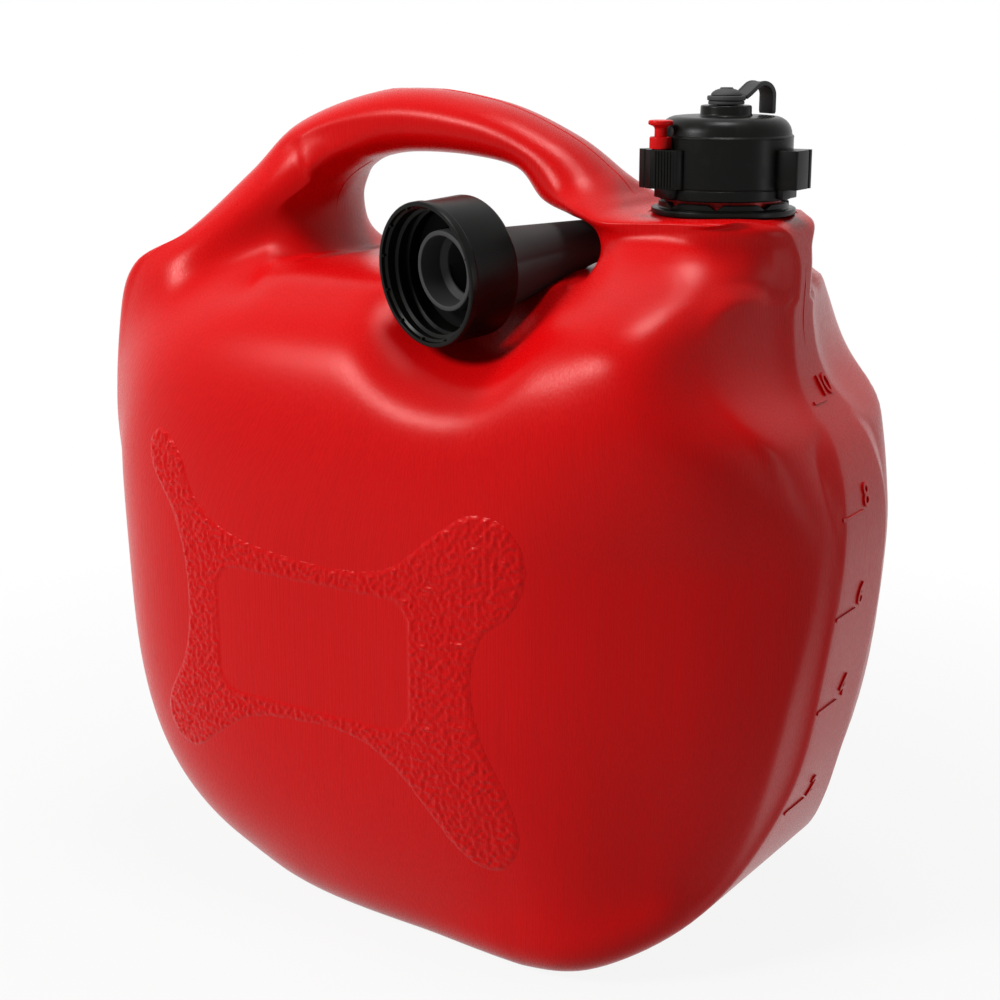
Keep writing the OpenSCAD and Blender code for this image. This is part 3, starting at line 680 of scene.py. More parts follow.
def ring_of_bars_tree():
    """Rows of upright bars, repeated round an axis."""
    tree = bpy.data.node_groups.new("Ring of bars", "GeometryNodeTree")
    face = tree.interface
    face.new_socket("Geometry", in_out="OUTPUT", socket_type="NodeSocketGeometry")
    for name, kind in (("Bars", "Int"), ("Pitch", "Float"), ("Bar radius", "Float"), ("Bar height", "Float"),
                       ("Distance", "Float"), ("Rows", "Int"), ("Turn", "Float"), ("Finish", "Material")):
        face.new_socket(name, in_out="INPUT", socket_type=f"NodeSocket{kind}")
    nodes = Nodes(tree)
    given = nodes.add("NodeGroupInput").outputs

    def vector(x=0.0, y=0.0, z=0.0):
        return nodes.add("ShaderNodeCombineXYZ", {"X": x, "Y": y, "Z": z}).outputs["Vector"]

    def shape(kind, values, output="Geometry", **settings):
        return nodes.add(f"GeometryNode{kind}", values, **settings).outputs[output]

    half = nodes.sums("MULTIPLY", nodes.sums("SUBTRACT", given["Bars"], 1.0), -0.5)
    start = vector(given["Distance"], nodes.sums("MULTIPLY", half, given["Pitch"]))
    offset = vector(0.0, given["Pitch"])
    row = shape("MeshLine", {"Count": given["Bars"], "Start Location": start, "Offset": offset}, "Mesh",
                mode="OFFSET")
    bar = shape("MeshCylinder", {
        "Vertices": 10, "Radius": given["Bar radius"], "Depth": given["Bar height"]}, "Mesh")
    bars = shape("InstanceOnPoints", {"Points": row, "Instance": bar}, "Instances")
    bars = shape("RealizeInstances", {"Geometry": bars})
    spots = shape("MeshLine", {"Count": given["Rows"], "Offset": (0, 0, 0)}, "Mesh", mode="OFFSET")
    step = nodes.sums("DIVIDE", 2 * math.pi, given["Rows"])
    index = shape("InputIndex", {}, "Index")
    angle = nodes.sums("ADD", nodes.sums("MULTIPLY", index, step), given["Turn"])
    spin = nodes.add("FunctionNodeEulerToRotation", {"Euler": vector(0.0, 0.0, angle)}).outputs["Rotation"]
    ring = shape("InstanceOnPoints", {"Points": spots, "Instance": bars, "Rotation": spin}, "Instances")
    ring = shape("RealizeInstances", {"Geometry": ring})
    ring = shape("SetMaterial", {"Geometry": ring, "Material": given["Finish"]})
    output = nodes.add("NodeGroupOutput")
    tree.links.new(ring, output.inputs["Geometry"])
    return tree


def ring_of_bars(**values):
    """Shape of bars round the upright axis through the origin, with lengths in millimetres."""
    tree = bpy.data.node_groups.get("Ring of bars") or ring_of_bars_tree()
    holder = linked("bars", bpy.data.meshes.new("bars"))
    modifier = holder.modifiers.new("bars", "NODES")
    modifier.node_group = tree
    named = {item.name: item.identifier for item in tree.interface.items_tree if item.in_out == "INPUT"}
    for name, value in values.items():
        modifier[named[name.replace("_", " ")]] = value
    shape = taken(settle(holder))
    if shape.count == 0:
        raise RuntimeError("the ring of bars came out empty")
    return shape


# Places

def upright_at(x, turn=0.0):
    return Matrix.Translation((x, 0, 0)) @ Matrix.Rotation(math.radians(turn), 4, "Z")


ON_NECK = upright_at(NECK_X)
ON_LOCK = upright_at(NECK_X, turn=LUG_TURN) @ Matrix.Translation((PIN_X, 0, 0))
ON_SPOUT = (Matrix.Translation((SPOUT_X, 0, SPOUT_Z)) @ Matrix.Rotation(math.radians(-SPOUT_YAW), 4, "Z")
            @ Matrix.Rotation(math.radians(SPOUT_TILT - 90), 4, "X") @ Matrix.Translation((0, 0, -SPOUT_IN)))


def cylinder(radius, low, high, steps=96):
    turn = 2 * np.pi * np.arange(steps) / steps
    return prism(np.stack([radius * np.cos(turn), radius * np.sin(turn)], 1), low, high)


def bore(piece, place, radius, low, high, steps=96):
    """Cuts a round hole about the upright axis of a place."""
    return carve(piece, cylinder(radius, low, high, steps).moved(place))


def washer(inner, outer, low, high, inner_round, outer_round, steps=96):
    """Flat ring with rounded edges about the upright axis."""
    return lathe(rounded(((inner, low, inner_round), (outer, low, outer_round), (outer, high, outer_round),
                          (inner, high, inner_round))), steps)


def tank_box():
    return (np.array(corner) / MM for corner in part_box("tank_body"))


def moulding(t, columns, thin=1):
    """Closed shape of both mould halves, joined across the strip and along the gap's rim."""
    front = np.clip(mould_half(t)[::thin, ::thin], *tank_box())
    back = front * (1, -1, 1)
    share = np.linspace(0, 1, columns + 1)[None, 1:-1, None]
    strip = mix(front[:, -1:, :], back[:, -1:, :], share)
    loop = np.concatenate([front, strip, back[:, ::-1, :]], 1)
    return Shape().add(loop, grid_faces(len(front), loop.shape[1], True, True))


def tank_tree():
    """Search tree of the tank's own surface."""
    skin = bpy.data.objects["tank_skin"].data
    return BVHTree.FromPolygons([v.co[:] for v in skin.vertices], [p.vertices[:] for p in skin.polygons])


def surface(tree, start, way):
    hit, normal, _, _ = tree.ray_cast(Vector(start) * MM, Vector(way))
    if hit is None:
        raise RuntimeError(f"no surface of the tank at {start}")
    return hit / MM, normal


# Outline of the grained field on a flank, and the corners of the bare panel in it
FIELD = (
    (-96, 183), (-104, 178), (-103, 167), (-92, 152), (-86, 134), (-85, 112), (-89, 94), (-99, 78), (-102, 67),
    (-95, 58), (-84, 58), (-68, 69), (-52, 78), (-28, 81), (-4, 80), (14, 71), (27, 58), (38, 46), (49, 40),
    (58, 43), (63, 54), (59, 71), (50, 90), (46, 111), (50, 127), (60, 136), (66, 148), (65, 160), (57, 169),
    (44, 170), (30, 161), (12, 147), (-8, 143), (-36, 144), (-60, 148), (-77, 157), (-86, 174))
PANEL = (-69.0, 86.0, 21.0, 136.0, 10.0)


def depth_inside(points, outline):
    """Distance of points from a closed outline, positive inside."""
    a, b = outline, np.roll(outline, -1, 0)
    best = np.full(len(points), 1e9)
    inside = np.zeros(len(points), bool)
    for p, q in zip(a, b):
        edge = q - p
        share = np.clip(((points - p) @ edge) / (edge @ edge), 0, 1)
        best = np.minimum(best, np.hypot(*(points - p - share[:, None] * edge).T))
        crosses = (p[1] > points[:, 1]) != (q[1] > points[:, 1])
        with np.errstate(divide="ignore", invalid="ignore"):
            at = p[0] + (points[:, 1] - p[1]) / (q[1] - p[1]) * edge[0]
        inside ^= crosses & (points[:, 0] < at)
    return np.where(inside, best, -best)


# Grain of a field: size, share and layer of its noises, then its floor and power
PEBBLES, GRAIN_FLOOR, GRAIN_POWER = ((1.5, 1.0, 7.0), (0.85, 0.6, 19.0)), 0.25, 0.7
# Heights over the skin: sunk edge, rise, line round the panel with its width, and depth of the underside
FIELD_SUNK, FIELD_RISE, PANEL_LINE, PANEL_LINE_W, FIELD_UNDER = -0.1, 0.16, 0.2, 0.55, 0.6
FIELD_MARGIN, EDGE_FADE, GRAIN_FADE, PANEL_FADE = 0.6, (-0.3, 0.9), (0.2, 2.0), (-0.5, 0.3)
FAR_OUT = 200


def depth_in_panel(place):
    """Distance of points from the panel's rounded border, positive inside."""
    left, bottom, right, top, radius = PANEL
    middle = np.array(((left + right) / 2, (bottom + top) / 2))
    half = np.array(((right - left) / 2, (top - bottom) / 2))
    q = np.abs(place - middle) - half + radius
    return radius - np.hypot(*np.maximum(q, 0).T) - np.minimum(q.max(1), 0)


def grained_field(tree, side, step, grain_height):
    """Closed patch of moulded grain on one flank, with a smooth bordered panel."""
    outline = through(FIELD, 6)
    low, high = outline.min(0) - 1, outline.max(0) + 1
    xs, zs = np.arange(low[0], high[0], step), np.arange(low[1], high[1], step)
    place = np.stack(np.meshgrid(xs, zs, indexing="ij"), -1).reshape(-1, 2)
    depth, panel = depth_inside(place, outline), depth_in_panel(place)
    keep = np.flatnonzero(depth > -FIELD_MARGIN)
    number = np.full(len(place), -1)
    number[keep] = np.arange(len(keep))
    outer, inner = [], []
    for index in keep:
        x, z = place[index]
        hit, _ = surface(tree, (x, side * FAR_OUT, z), (0, -side, 0))
        pebble = sum(share * noise.noise((x / size, z / size, side * layer))
                     for size, share, layer in PEBBLES)
        grain = max(0.0, GRAIN_FLOOR + pebble) ** GRAIN_POWER
        inside = float(step_up(depth[index], *EDGE_FADE))
        free = float(1 - step_up(panel[index], *PANEL_FADE))
        line = math.exp(-(panel[index] / PANEL_LINE_W) ** 2)
        rough = grain_height * grain * free * float(step_up(depth[index], *GRAIN_FADE))
        lift = FIELD_SUNK + inside * (FIELD_RISE + rough + PANEL_LINE * line)
        outer.append((x, hit.y + side * lift, z))
        inner.append((x, hit.y - side * FIELD_UNDER, z))
    rings = number[np.array(grid_faces(len(xs), len(zs)))]
    faces = [tuple(ring) for ring in rings[rings.min(1) >= 0].tolist()]
    edges = {edge: None for face in faces for edge in zip(face, face[1:] + face[:1])}
    count = len(outer)
    walls = [(b, a, a + count, b + count) for a, b in edges if (b, a) not in edges]
    under = [tuple(v + count for v in face[::-1]) for face in faces]
    return Shape().add(outer + inner, faces + under + walls)


# Number, start and length of its bar across the strip, and height
LITRES = (("10", -9, 10, 204.5), ("8", -19, 16, 168), ("6", -19, 16, 132.5), ("4", -19, 16, 97.5),
          ("2", -19, 16, 57.5))
# Half-width, foot and top of a bar, step of its points, and the number's place past its end
BAR_HALF, BAR_FOOT, BAR_TOP, BAR_STEP, DIGIT_PAST, DIGIT_UP = 0.65, -0.6, 0.55, 2, 0.8, 1
DIGIT_DEPTH, DIGIT_BEVEL, DIGIT_SIZE, DIGIT_NARROW = 0.5, 0.12, 1.4, 0.86


def digits(text, height):
    """Shape of a number, flat in X and Y, standing on the X axis from the origin."""
    curve = bpy.data.curves.new("digits", "FONT")
    curve.body = text
    curve.size = height * MM * DIGIT_SIZE
    curve.extrude = DIGIT_DEPTH * MM
    curve.bevel_depth = DIGIT_BEVEL * MM
    curve.resolution_u = 6
    holder = linked("digits", curve)
    bpy.context.view_layer.update()
    mesh = bpy.data.meshes.new_from_object(holder.evaluated_get(bpy.context.evaluated_depsgraph_get()))
    shape = shape_of(mesh)
    bpy.data.objects.remove(holder)
    bpy.data.meshes.remove(mesh)
    points = shape.points[0]
    points[:, 0] -= points[:, 0].min()
    points[:, 1] *= height / points[:, 1].max()
    points[:, 0] *= DIGIT_NARROW
    return shape


def draped(shape, tree, y, z):
    """Lays a flat shape on the end strip: its X along the can's Y, its Y up the strip and its Z outwards."""
    above, below = (surface(tree, (FAR_OUT, y, z + d), (-1, 0, 0))[0] for d in (4, -4))
    rise = (above - below).normalized().z
    for points in shape.points:
        for k, (u, v, w) in enumerate(points):
            hit, normal = surface(tree, (FAR_OUT, y + u, z + v * rise), (-1, 0, 0))
            points[k] = hit + normal * (w if normal.x > 0 else -w)
    return shape


# Parting line: lines for each station, its width, and first column, side, start and end station of each part
FLASH_LINES, FLASH_W = 12, 0.8
FLASH = ((2, 1, 28.4, 34.2), (2, 1, 37.0, 38.6), (0, -1, 25.0, 28.8))


def flash_strip(points, outwards, height, width):
    """Thin raised line on the parting plane along a row of (x, z) points, sunk at both ends."""
    count = len(points)
    rings = []
    for i, (p, n) in enumerate(zip(points, outwards)):
        top = height * min(1.0, i / 6, (count - 1 - i) / 6) - 0.05
        section = ((-width / 2, -0.3), (-width / 5, top), (width / 5, top), (width / 2, -0.3))
        rings.append([(p[0] + n[0] * h, y, p[1] + n[1] * h) for y, h in section])
    return swept(rings)


# Settings that a user would change

def colour_setting(name, description, default):
    return FloatVectorProperty(name=name, description=description, subtype="COLOR", size=3, min=0, max=1,
                               default=default)


def height_setting(name, description, default):
    return FloatProperty(name=name, description=description, default=default, min=0, max=0.001, precision=6,
                         unit="LENGTH")


def power_setting(name, description, default):
    return FloatProperty(name=name, description=description, default=default, min=0, unit="POWER")


class CanTankSettings(bpy.types.PropertyGroup):
    colour: colour_setting("Tank colour", "Colour of the moulded polyethylene", (0.62, 0.002, 0.003))
    streak_depth: height_setting("Streak depth", "Depth of the drawn streaks in the surface", 0.00006)
    grain_height: height_setting("Grain height", "Height of the grain on the flanks", 0.0009)
    flash_height: height_setting("Flash height", "Height of the line along the parting plane", 0.00022)
    digit_height: FloatProperty(name="Digit height", description="Height of the numbers on the litre scale",
                                default=0.0085, min=0.002, max=0.02, unit="LENGTH")


class CanTrimSettings(bpy.types.PropertyGroup):
    black: colour_setting("Cap colour", "Colour of the cap and the collar", (0.0035, 0.0035, 0.003))
    soft_black: colour_setting("Soft trim colour", "Colour of the stopper, the strap and the tube",
                               (0.003, 0.003, 0.0027))
    lock_colour: colour_setting("Lock colour", "Colour of the lock's pin and bush", (0.6, 0.004, 0.004))
    ribs: IntProperty(name="Ribs on a lug", description="Upright ribs on the lug that holds the lock",
                      default=7, min=1, max=12)


class CanStageSettings(bpy.types.PropertyGroup):
    floor: colour_setting("Floor colour", "Colour of the floor", (0.55, 0.55, 0.55))
    key: power_setting("Key light", "Power of the large light at the front", 22.0)
    top: power_setting("Top light", "Power of the light overhead", 9.0)
    rim: power_setting("Rim light", "Power of the light beside the end", 0.8)
    fill: FloatProperty(name="Surrounding light", description="Strength of the light from all round",
                        default=0.09, min=0)


# Steps

class CAN_OT_tank(bpy.types.Operator):
    """Moulds the hollow tank with its threaded neck"""
    bl_idname = "can.tank"
    bl_label = "Tank"

    def execute(self, context):
        skin = linked("tank_skin", moulding(0.0, STRIP_COLUMNS).mesh("tank_skin"))
        bore(skin, ON_NECK, RING_R + 1, TOWER_Z, TOWER_Z + 12)
        carve(skin, moulding(WALL + INNER_GAP, 1, 2))
        bore(skin, ON_NECK, BORE_R, TOWER_Z - 4 * WALL, TOWER_Z + 4)
        tank_piece(skin, sharp=50)

        foot = TOWER_Z - WALL - 0.6
        tube = lathe(rounded((
            (BORE_R, foot, 0), (NECK_R, foot, 0), (NECK_R, NECK_TOP, 1.0), (BORE_R, NECK_TOP, 0.8))))
        neck = gather(tube, helix_ridge(NECK_R, 1, *NECK_THREAD)).moved(ON_NECK)
        tank_piece(linked("tank_neck", neck.mesh("tank_neck")))
        return {"FINISHED"}


class CAN_OT_marks(bpy.types.Operator):
    """Raises the litre scale and the parting line on the tank"""
    bl_idname = "can.marks"
    bl_label = "Scale and parting line"

    def execute(self, context):
        settings = context.scene.can_tank
        tree = tank_tree()
        marks = []
        for text, y, length, z in LITRES:
            edge = [(u, -BAR_HALF) for u in range(0, length + 1, BAR_STEP)]
            bar = prism(edge + [(u, -v) for u, v in reversed(edge)], BAR_FOOT, BAR_TOP)
            marks.append(draped(bar, tree, y, z))
            number = digits(text, settings.digit_height / MM)
            marks.append(draped(number, tree, y + length + DIGIT_PAST, z + DIGIT_UP))

        lines = mould_lines(FLASH_LINES)
        flash = []
        for first, sign, start, end in FLASH:
            points = lines[:, first:first + 2]
            outwards = -sign * across(points)
            part = np.arange(int(start * FLASH_LINES), int(end * FLASH_LINES)) % len(lines)
            flash.append(flash_strip(points[part], outwards[part], settings.flash_height / MM, FLASH_W))

        low, high = tank_box()
        for name, shapes, sharp in (("litre_scale", marks, 32), ("parting_line", flash, 60)):
            whole = gather(*shapes)
            whole.points = [np.clip(points, low, high) for points in whole.points]
            tank_piece(linked(name, whole.mesh(name)), sharp=sharp)
        return {"FINISHED"}


class CAN_OT_field(bpy.types.Operator):
    """Lays the grained field with its bare panel on both flanks"""
    bl_idname = "can.field"
    bl_label = "Grained fields"

    def execute(self, context):
        tree = tank_tree()
        height = context.scene.can_tank.grain_height / MM
        step = 0.7
        for name, side in (("front_field", -1), ("back_field", 1)):
            tank_piece(linked(name, grained_field(tree, side, step, height).mesh(name)), sharp=80)
        return {"FINISHED"}


class CAN_OT_neck_ring(bpy.types.Operator):
    """Turns the loose ring with its notched sleeve"""
    bl_idname = "can.neck_ring"
    bl_label = "Neck ring"

    def execute(self, context):
        steps, pitch = NOTCHES * 32, 360 / NOTCHES
        hole, flange = NECK_R + 0.3, RING_Z + RING_H + 1.0
        rings = []
        for i in range(steps):
            turn = 2 * math.pi * i / steps
            away = (math.degrees(turn) - NOTCH_TURN + pitch / 2) % pitch - pitch / 2
            cut = max(0.0, 1 - abs(math.radians(away)) * SLEEVE_R * 2 / NOTCH_W)
            top = SLEEVE_Z - NOTCH_H * cut
            outline = (
                (hole, RING_Z), (RING_R - 0.5, RING_Z), (RING_R - 0.12, RING_Z + 0.2), (RING_R, RING_Z + 0.6),
                (RING_R, flange - 0.8), (RING_R - 0.12, flange - 0.35), (RING_R - 0.6, flange - 0.1),
                (SLEEVE_R + 0.4, flange), (SLEEVE_R, flange + 0.35), (SLEEVE_R, top - 0.2),
                (SLEEVE_R - 0.2, top), (hole + 0.2, top), (hole, top - 0.2))
            rings.append([(r * math.cos(turn), r * math.sin(turn), z) for r, z in outline])
        shape = Shape().add(rings, grid_faces(steps, len(rings[0]), True, True)).moved(ON_NECK)
        piece_of("neck_ring_notched", shape, "cap_black", "tank", "black_plastic", "neck_ring")
        return {"FINISHED"}


def cap_outline():
    """Section of the cap: up its outside from the skirt, over the shoulder and boss, and down inside."""
    shoulder_x, band, waist = CAP_R - STEP_R, CAP_R - 0.08, CAP_R - 0.28
    corners = [
        (CAP_BORE_R, SKIRT_Z, 0.3), (CAP_R, SKIRT_Z, 0.6), (CAP_R, LUG_Z - 0.5, 0.1),
        (waist, LUG_Z - 0.25, 0.05), (waist, LUG_Z - 0.05, 0.05), (band, LUG_Z + 0.2, 0.1),
        (band, SEAM_Z - 0.4, 0.1), (CAP_R, SEAM_Z - 0.2, 0.08), (CAP_R, SEAM_Z + 0.1, 0.2),
        (shoulder_x + 0.05, SEAM_Z + 0.75, 0.3)]
    for turn in map(math.radians, range(12, 91, 13)):
        corners.append((shoulder_x - SHOULDER_R * (1 - math.cos(turn)),
                        CAP_TOP - SHOULDER_R * (1 - math.sin(turn)), 0))
    corners += [
        (BOSS_R + 0.1, CAP_TOP, 0.9), (BOSS_R, BOSS_Z, 0.6), (VENT_R + 0.6, BOSS_Z, 0.2),
        (VENT_R, BOSS_Z - 0.5, 0.1), (VENT_R, ROOF_Z, 0.2), (CAP_BORE_R, ROOF_Z, 1.4)]
    return rounded(corners, 4)


# Lugs, seen from above: where they start in the cap's wall, half their width, and the ribbed facet
LUG_IN, LUG_SIDE = CAP_BORE_R + 1, LUG_W / 2
FACET = np.array((LUG_R - 5.1, LUG_SIDE - 0.4)) - (LUG_R, 0)
LOCK_LUG = (
    (LUG_IN, -LUG_SIDE, 0), (LUG_R - 0.6, -LUG_SIDE, 1.2), (LUG_R, -LUG_SIDE + 1.8, 1.6),
    (LUG_R, -LUG_SIDE + 4.2, 0.5), (LUG_R - 0.5, -LUG_SIDE + 4.6, 0.1), (LUG_R - 0.5, -LUG_SIDE + 5.0, 0.1),
    (LUG_R, -LUG_SIDE + 5.4, 0.4), (LUG_R, 0, 1.2), (*(FACET + (LUG_R, 0)), 1.0), (LUG_IN, LUG_SIDE - 0.2, 0))
PLAIN_LUG = (
    (LUG_IN, -LUG_SIDE + 2.2, 0), (LUG_R, -LUG_SIDE + 2.2, 0.9), (LUG_R, LUG_SIDE - 5.4, 0.3),
    (LUG_R - 0.8, LUG_SIDE - 5.1, 0.1), (LUG_R - 0.8, LUG_SIDE - 4.6, 0.1), (LUG_R, LUG_SIDE - 4.3, 0.5),
    (LUG_R, LUG_SIDE - 2, 1.3), (LUG_IN, LUG_SIDE - 2, 0))
LUG_PAD = ((LUG_IN, 2.8 - LUG_SIDE), (CAP_R + 1.4, 2.8 - LUG_SIDE), (CAP_R + 1.4, LUG_SIDE - 2.6),
           (LUG_IN, LUG_SIDE - 2.6))
# Ribs: width of the row, radius, shortfall in height, and place of the row along the facet
RIBS_W, RIB_R, RIB_SHORT, RIBS_AT = 7.7, 0.42, 0.5, 0.53


def lug_shapes(locked, place):
    """Shapes of one lug and of the pad below it."""
    block = prism(rounded(LOCK_LUG if locked else PLAIN_LUG), LUG_Z, LUG_TOP)
    block = linked("lug", block.moved(place).mesh("lug"))
    if locked:
        bore(block, ON_LOCK, POCKET_R, LUG_Z + 3, LUG_TOP + 3, 48)
        bore(block, ON_LOCK, PIN_R - 0.42, LUG_Z - 1, LUG_TOP, 32)
    soften(block, 0.45, 3, 55)
    foot = linked("pad", prism(LUG_PAD, SKIRT_Z + 0.6, LUG_Z + 0.6).moved(place).mesh("pad"))
    soften(foot, 0.4)
    return taken(block), taken(foot)


class CAN_OT_cap(bpy.types.Operator):
    """Moulds the screw cap with its lugs, and the seal inside it"""
    bl_idname = "can.cap"
    bl_label = "Cap"

    def execute(self, context):
        shell = linked("cap_moulding", lathe(cap_outline(), 128).moved(ON_NECK).mesh("cap_moulding"))
        bore(shell, ON_LOCK, BUSH_R + 0.3, LUG_TOP - 0.05, LUG_TOP + 13, 48)
        lugs = []
        for i in range(LUGS):
            lugs += lug_shapes(i == 0, upright_at(NECK_X, turn=LUG_TURN + i * 360 / LUGS))
        ribs = context.scene.can_trim.ribs
        bars = ring_of_bars(
            Bars=ribs, Pitch=RIBS_W / ribs * MM, Bar_radius=RIB_R * MM,
            Bar_height=(LUG_TOP - LUG_Z - RIB_SHORT) * MM, Distance=0.0, Rows=1,
            Turn=math.atan2(-FACET[0], FACET[1]), Finish=finish_named("cap_black"))
        middle = (LUG_R + RIBS_AT * FACET[0], RIBS_AT * FACET[1], (LUG_Z + LUG_TOP) / 2)
        bars.moved(upright_at(NECK_X, turn=LUG_TURN) @ Matrix.Translation(middle))
        whole = gather(taken(shell), *lugs, bars)
        piece_of("cap_moulding", whole, "cap_black", "cap", "black_plastic", "cap_shell", sharp=38)

        seal = washer(16, 19, 293.8, 295.8, 0.4, 0.4).moved(ON_NECK)
        piece_of("cap_seal_ring", seal, "seal_black", "cap_seal", "black_rubber", "cap_gasket")
        return {"FINISHED"}


class CAN_OT_lock(bpy.types.Operator):
    """Turns the lock's bush and pull pin, and winds its spring"""
    bl_idname = "can.lock"
    bl_label = "Lock"

    def execute(self, context):
        tail, foot, top = LUG_TOP - 2.3, LUG_TOP + 0.3, LUG_TOP + 4.3
        hole, guide = PIN_R + 0.08, POCKET_R - 0.08
        bush = lathe(rounded((
            (hole, tail, 0), (guide, tail, 0.1), (guide, foot, 0), (BUSH_R, foot, 0.2), (BUSH_R, top, 0.5),
            (hole, top, 0.25))), 64)
        piece_of("lock_guide", bush.moved(ON_LOCK), "lock_red", "cap", "red_lock", "lock_bush")

        head, head_r, tip, tip_r, shoulder = 298.5, 4.25, 276.0, PIN_R - 0.5, 279.0
        pin = lathe(rounded((
            (0, tip, 0), (tip_r, tip, 0.4), (tip_r, shoulder, 0), (guide, shoulder, 0.1),
            (guide, shoulder + 1.6, 0.1), (PIN_R, shoulder + 1.6, 0), (PIN_R, head - 2.3, 1.2),
            (head_r, head - 1.4, 0.4), (head_r, head, 0.6), (0.6, head - 0.15, 0.3),
            (0, head - 0.15, 0))), 64, False)
        piece_of("lock_pull_pin", pin.moved(ON_LOCK), "lock_red", "pin", "red_lock", "lock_pin")

        low, high = (corner[2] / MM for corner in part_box("lock_spring"))
        wire = coil(2.5, 0.25, low, high, 4.5).moved(ON_LOCK)
        spring = piece_of("lock_coil", wire, "spring_wire", "cap", "spring_steel", "lock_spring")
        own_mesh(spring)
        return {"FINISHED"}


# Strap in its own plane: middle and radius of its bow, thickness, half-width, and the bow's first angle
BOW_AT, BOW_R, STRAP_H, STRAP_HALF, BOW_START = np.array((13.3, 305.9)), 4.2, 1.6, 4.0, math.radians(128)
STRAP_DOWN_X, STRAP_DOWN_Z, RAMP = 17.5, (304.0, 302.0, 300.6, 299.75), (6.0, 4.0, 2.0)


def strap_band():
    """Strap from the stopper's eye up a ramp, over the bow and down to its foot on the cap."""
    def on_bow(a):
        return BOW_AT + BOW_R * np.array((math.cos(a), math.sin(a)))

    ramp = np.array((math.sin(BOW_START), -math.cos(BOW_START)))
    path = [on_bow(BOW_START) - ramp * d for d in RAMP]
    path += [on_bow(a) for a in np.linspace(BOW_START, 0, 22)]
    path = np.array(path + [np.array((STRAP_DOWN_X, z)) for z in STRAP_DOWN_Z])
    side, top, groove = STRAP_HALF, STRAP_H / 2, STRAP_H / 2 - 0.25
    section = rounded((
        (-side, -top, 0.35), (side, -top, 0.35), (side, top, 0.3), (side - 1.0, top, 0.1),
        (side - 1.15, groove, 0.1), (1.15 - side, groove, 0.1), (1.0 - side, top, 0.1), (-side, top, 0.3)), 3)
    rings = []
    for i, p in enumerate(path):
        along = path[min(i + 1, len(path) - 1)] - path[max(i - 1, 0)]
        along /= np.linalg.norm(along)
        outward = np.array((-along[1], along[0]))
        shrink = 0.93 if i in (0, len(path) - 1) else 1.0
        rings.append([(p[0] + outward[0] * h * shrink, -w * shrink, p[1] + outward[1] * h * shrink)
                      for w, h in section])
    return swept(rings)


class CAN_OT_stopper(bpy.types.Operator):
    """Turns the vent's stopper and bends its strap"""
    bl_idname = "can.stopper"
    bl_label = "Stopper"

    def execute(self, context):
        tip, rim, eye, dome, dome_r, dome_h = 299.2, 303.2, 304.48, 306.16, 5.4, 2.5
        corners = [(0, tip, 0), (2.2, tip, 0.3), (2.9, rim, 0.1), (6.2, rim, 0.3), (6.2, rim + 1.2, 0.4),
                   (4.8, rim + 1.2, 0.1), (4.8, dome, 0.05), (dome_r, dome, 0.25)]
        for turn in map(math.radians, (14, 28, 42, 54, 64)):
            corners.append((dome_r * math.cos(turn), dome + dome_h * math.sin(turn), 0))
        corners += [(2.2, dome + 2.44, 0.15), (2.1, dome + 2.7, 0.15), (1.5, dome + 2.62, 0.2),
                    (0, dome + 2.6, 0)]
        plug = lathe(rounded(corners, 4), 72, False).moved(ON_NECK)
        piece_of("vent_stopper", plug, "soft_black", "plug", "soft_black", "vent_plug")

        loop = washer(4.88, 6.6, eye, eye + 1.6, 0.15, 0.4, 72)
        strap = gather(loop, strap_band()).moved(upright_at(NECK_X, turn=STRAP_TURN))
        piece_of("stopper_strap", strap, "soft_black", "plug", "soft_black", "plug_strap", sharp=40)
        return {"FINISHED"}


# Collar and tube, as radius, distance from the mouth and round
COLLAR = (
    (COLLAR_BORE_R + 1.0, 0, 0.15), (COLLAR_R, 0, 0.5), (COLLAR_R, 2.6, 0.3), (COLLAR_R - 0.45, 3.3, 0.3),
    (COLLAR_R - 0.5, COLLAR_L, 1.8), (12.3, COLLAR_L, 0.3), (12.3, 19.4, 0.2), (COLLAR_BORE_R, 19.4, 0.6),
    (COLLAR_BORE_R, 2.0, 0.2), (COLLAR_BORE_R + 0.9, 1.4, 0.2))
TUBE = (
    (12.2, 8.4, 0.4), (14, 8.4, 0.6), (14, 17.1, 0), (22, 17.1, 0.3), (22, 19.1, 0.3), (12, 19.1, 0),
    (12, 22, 3), (7.4, 78, 30), (6.2, 150.6, 0.3), (6.2, 152, 0.6), (4.6, 152, 0.4), (5.6, 78, 20),
    (10.2, 22, 4), (10.2, 19.1, 1), (12.2, 17.1, 0.6))
# Swelling of the tube's underside, from here on: height, where it ends and over which length it fades
SWELL_FROM, SWELLS = 21.5, ((8.0, 62, 40), (1.4, 100, 20))
TEETH, TOOTH_R, TOOTH_H, TOOTH_Z, TEETH_OUT, TEETH_TURN = 12, 0.5, 1.4, 1.0, 0.8, 0.2


def swell_below(tube):
    """Swells the underside of a tube that lies along the spout's axis."""
    down = ON_SPOUT.to_3x3().transposed() @ Vector((0, 0, -1))
    points = tube.points[0]
    along, radius = points[:, 2], np.hypot(points[:, 0], points[:, 1])
    under = (points[:, 0] * down.x + points[:, 1] * down.y) / np.maximum(radius, 1e-6)
    swell = np.maximum(*(height * np.clip((end - along) / fade, 0, 1) for height, end, fade in SWELLS))
    swell *= (along > SWELL_FROM) * np.clip(under, 0, 1)
    points[:, :2] *= (1 + swell / np.maximum(radius, 1))[:, None]
    return tube


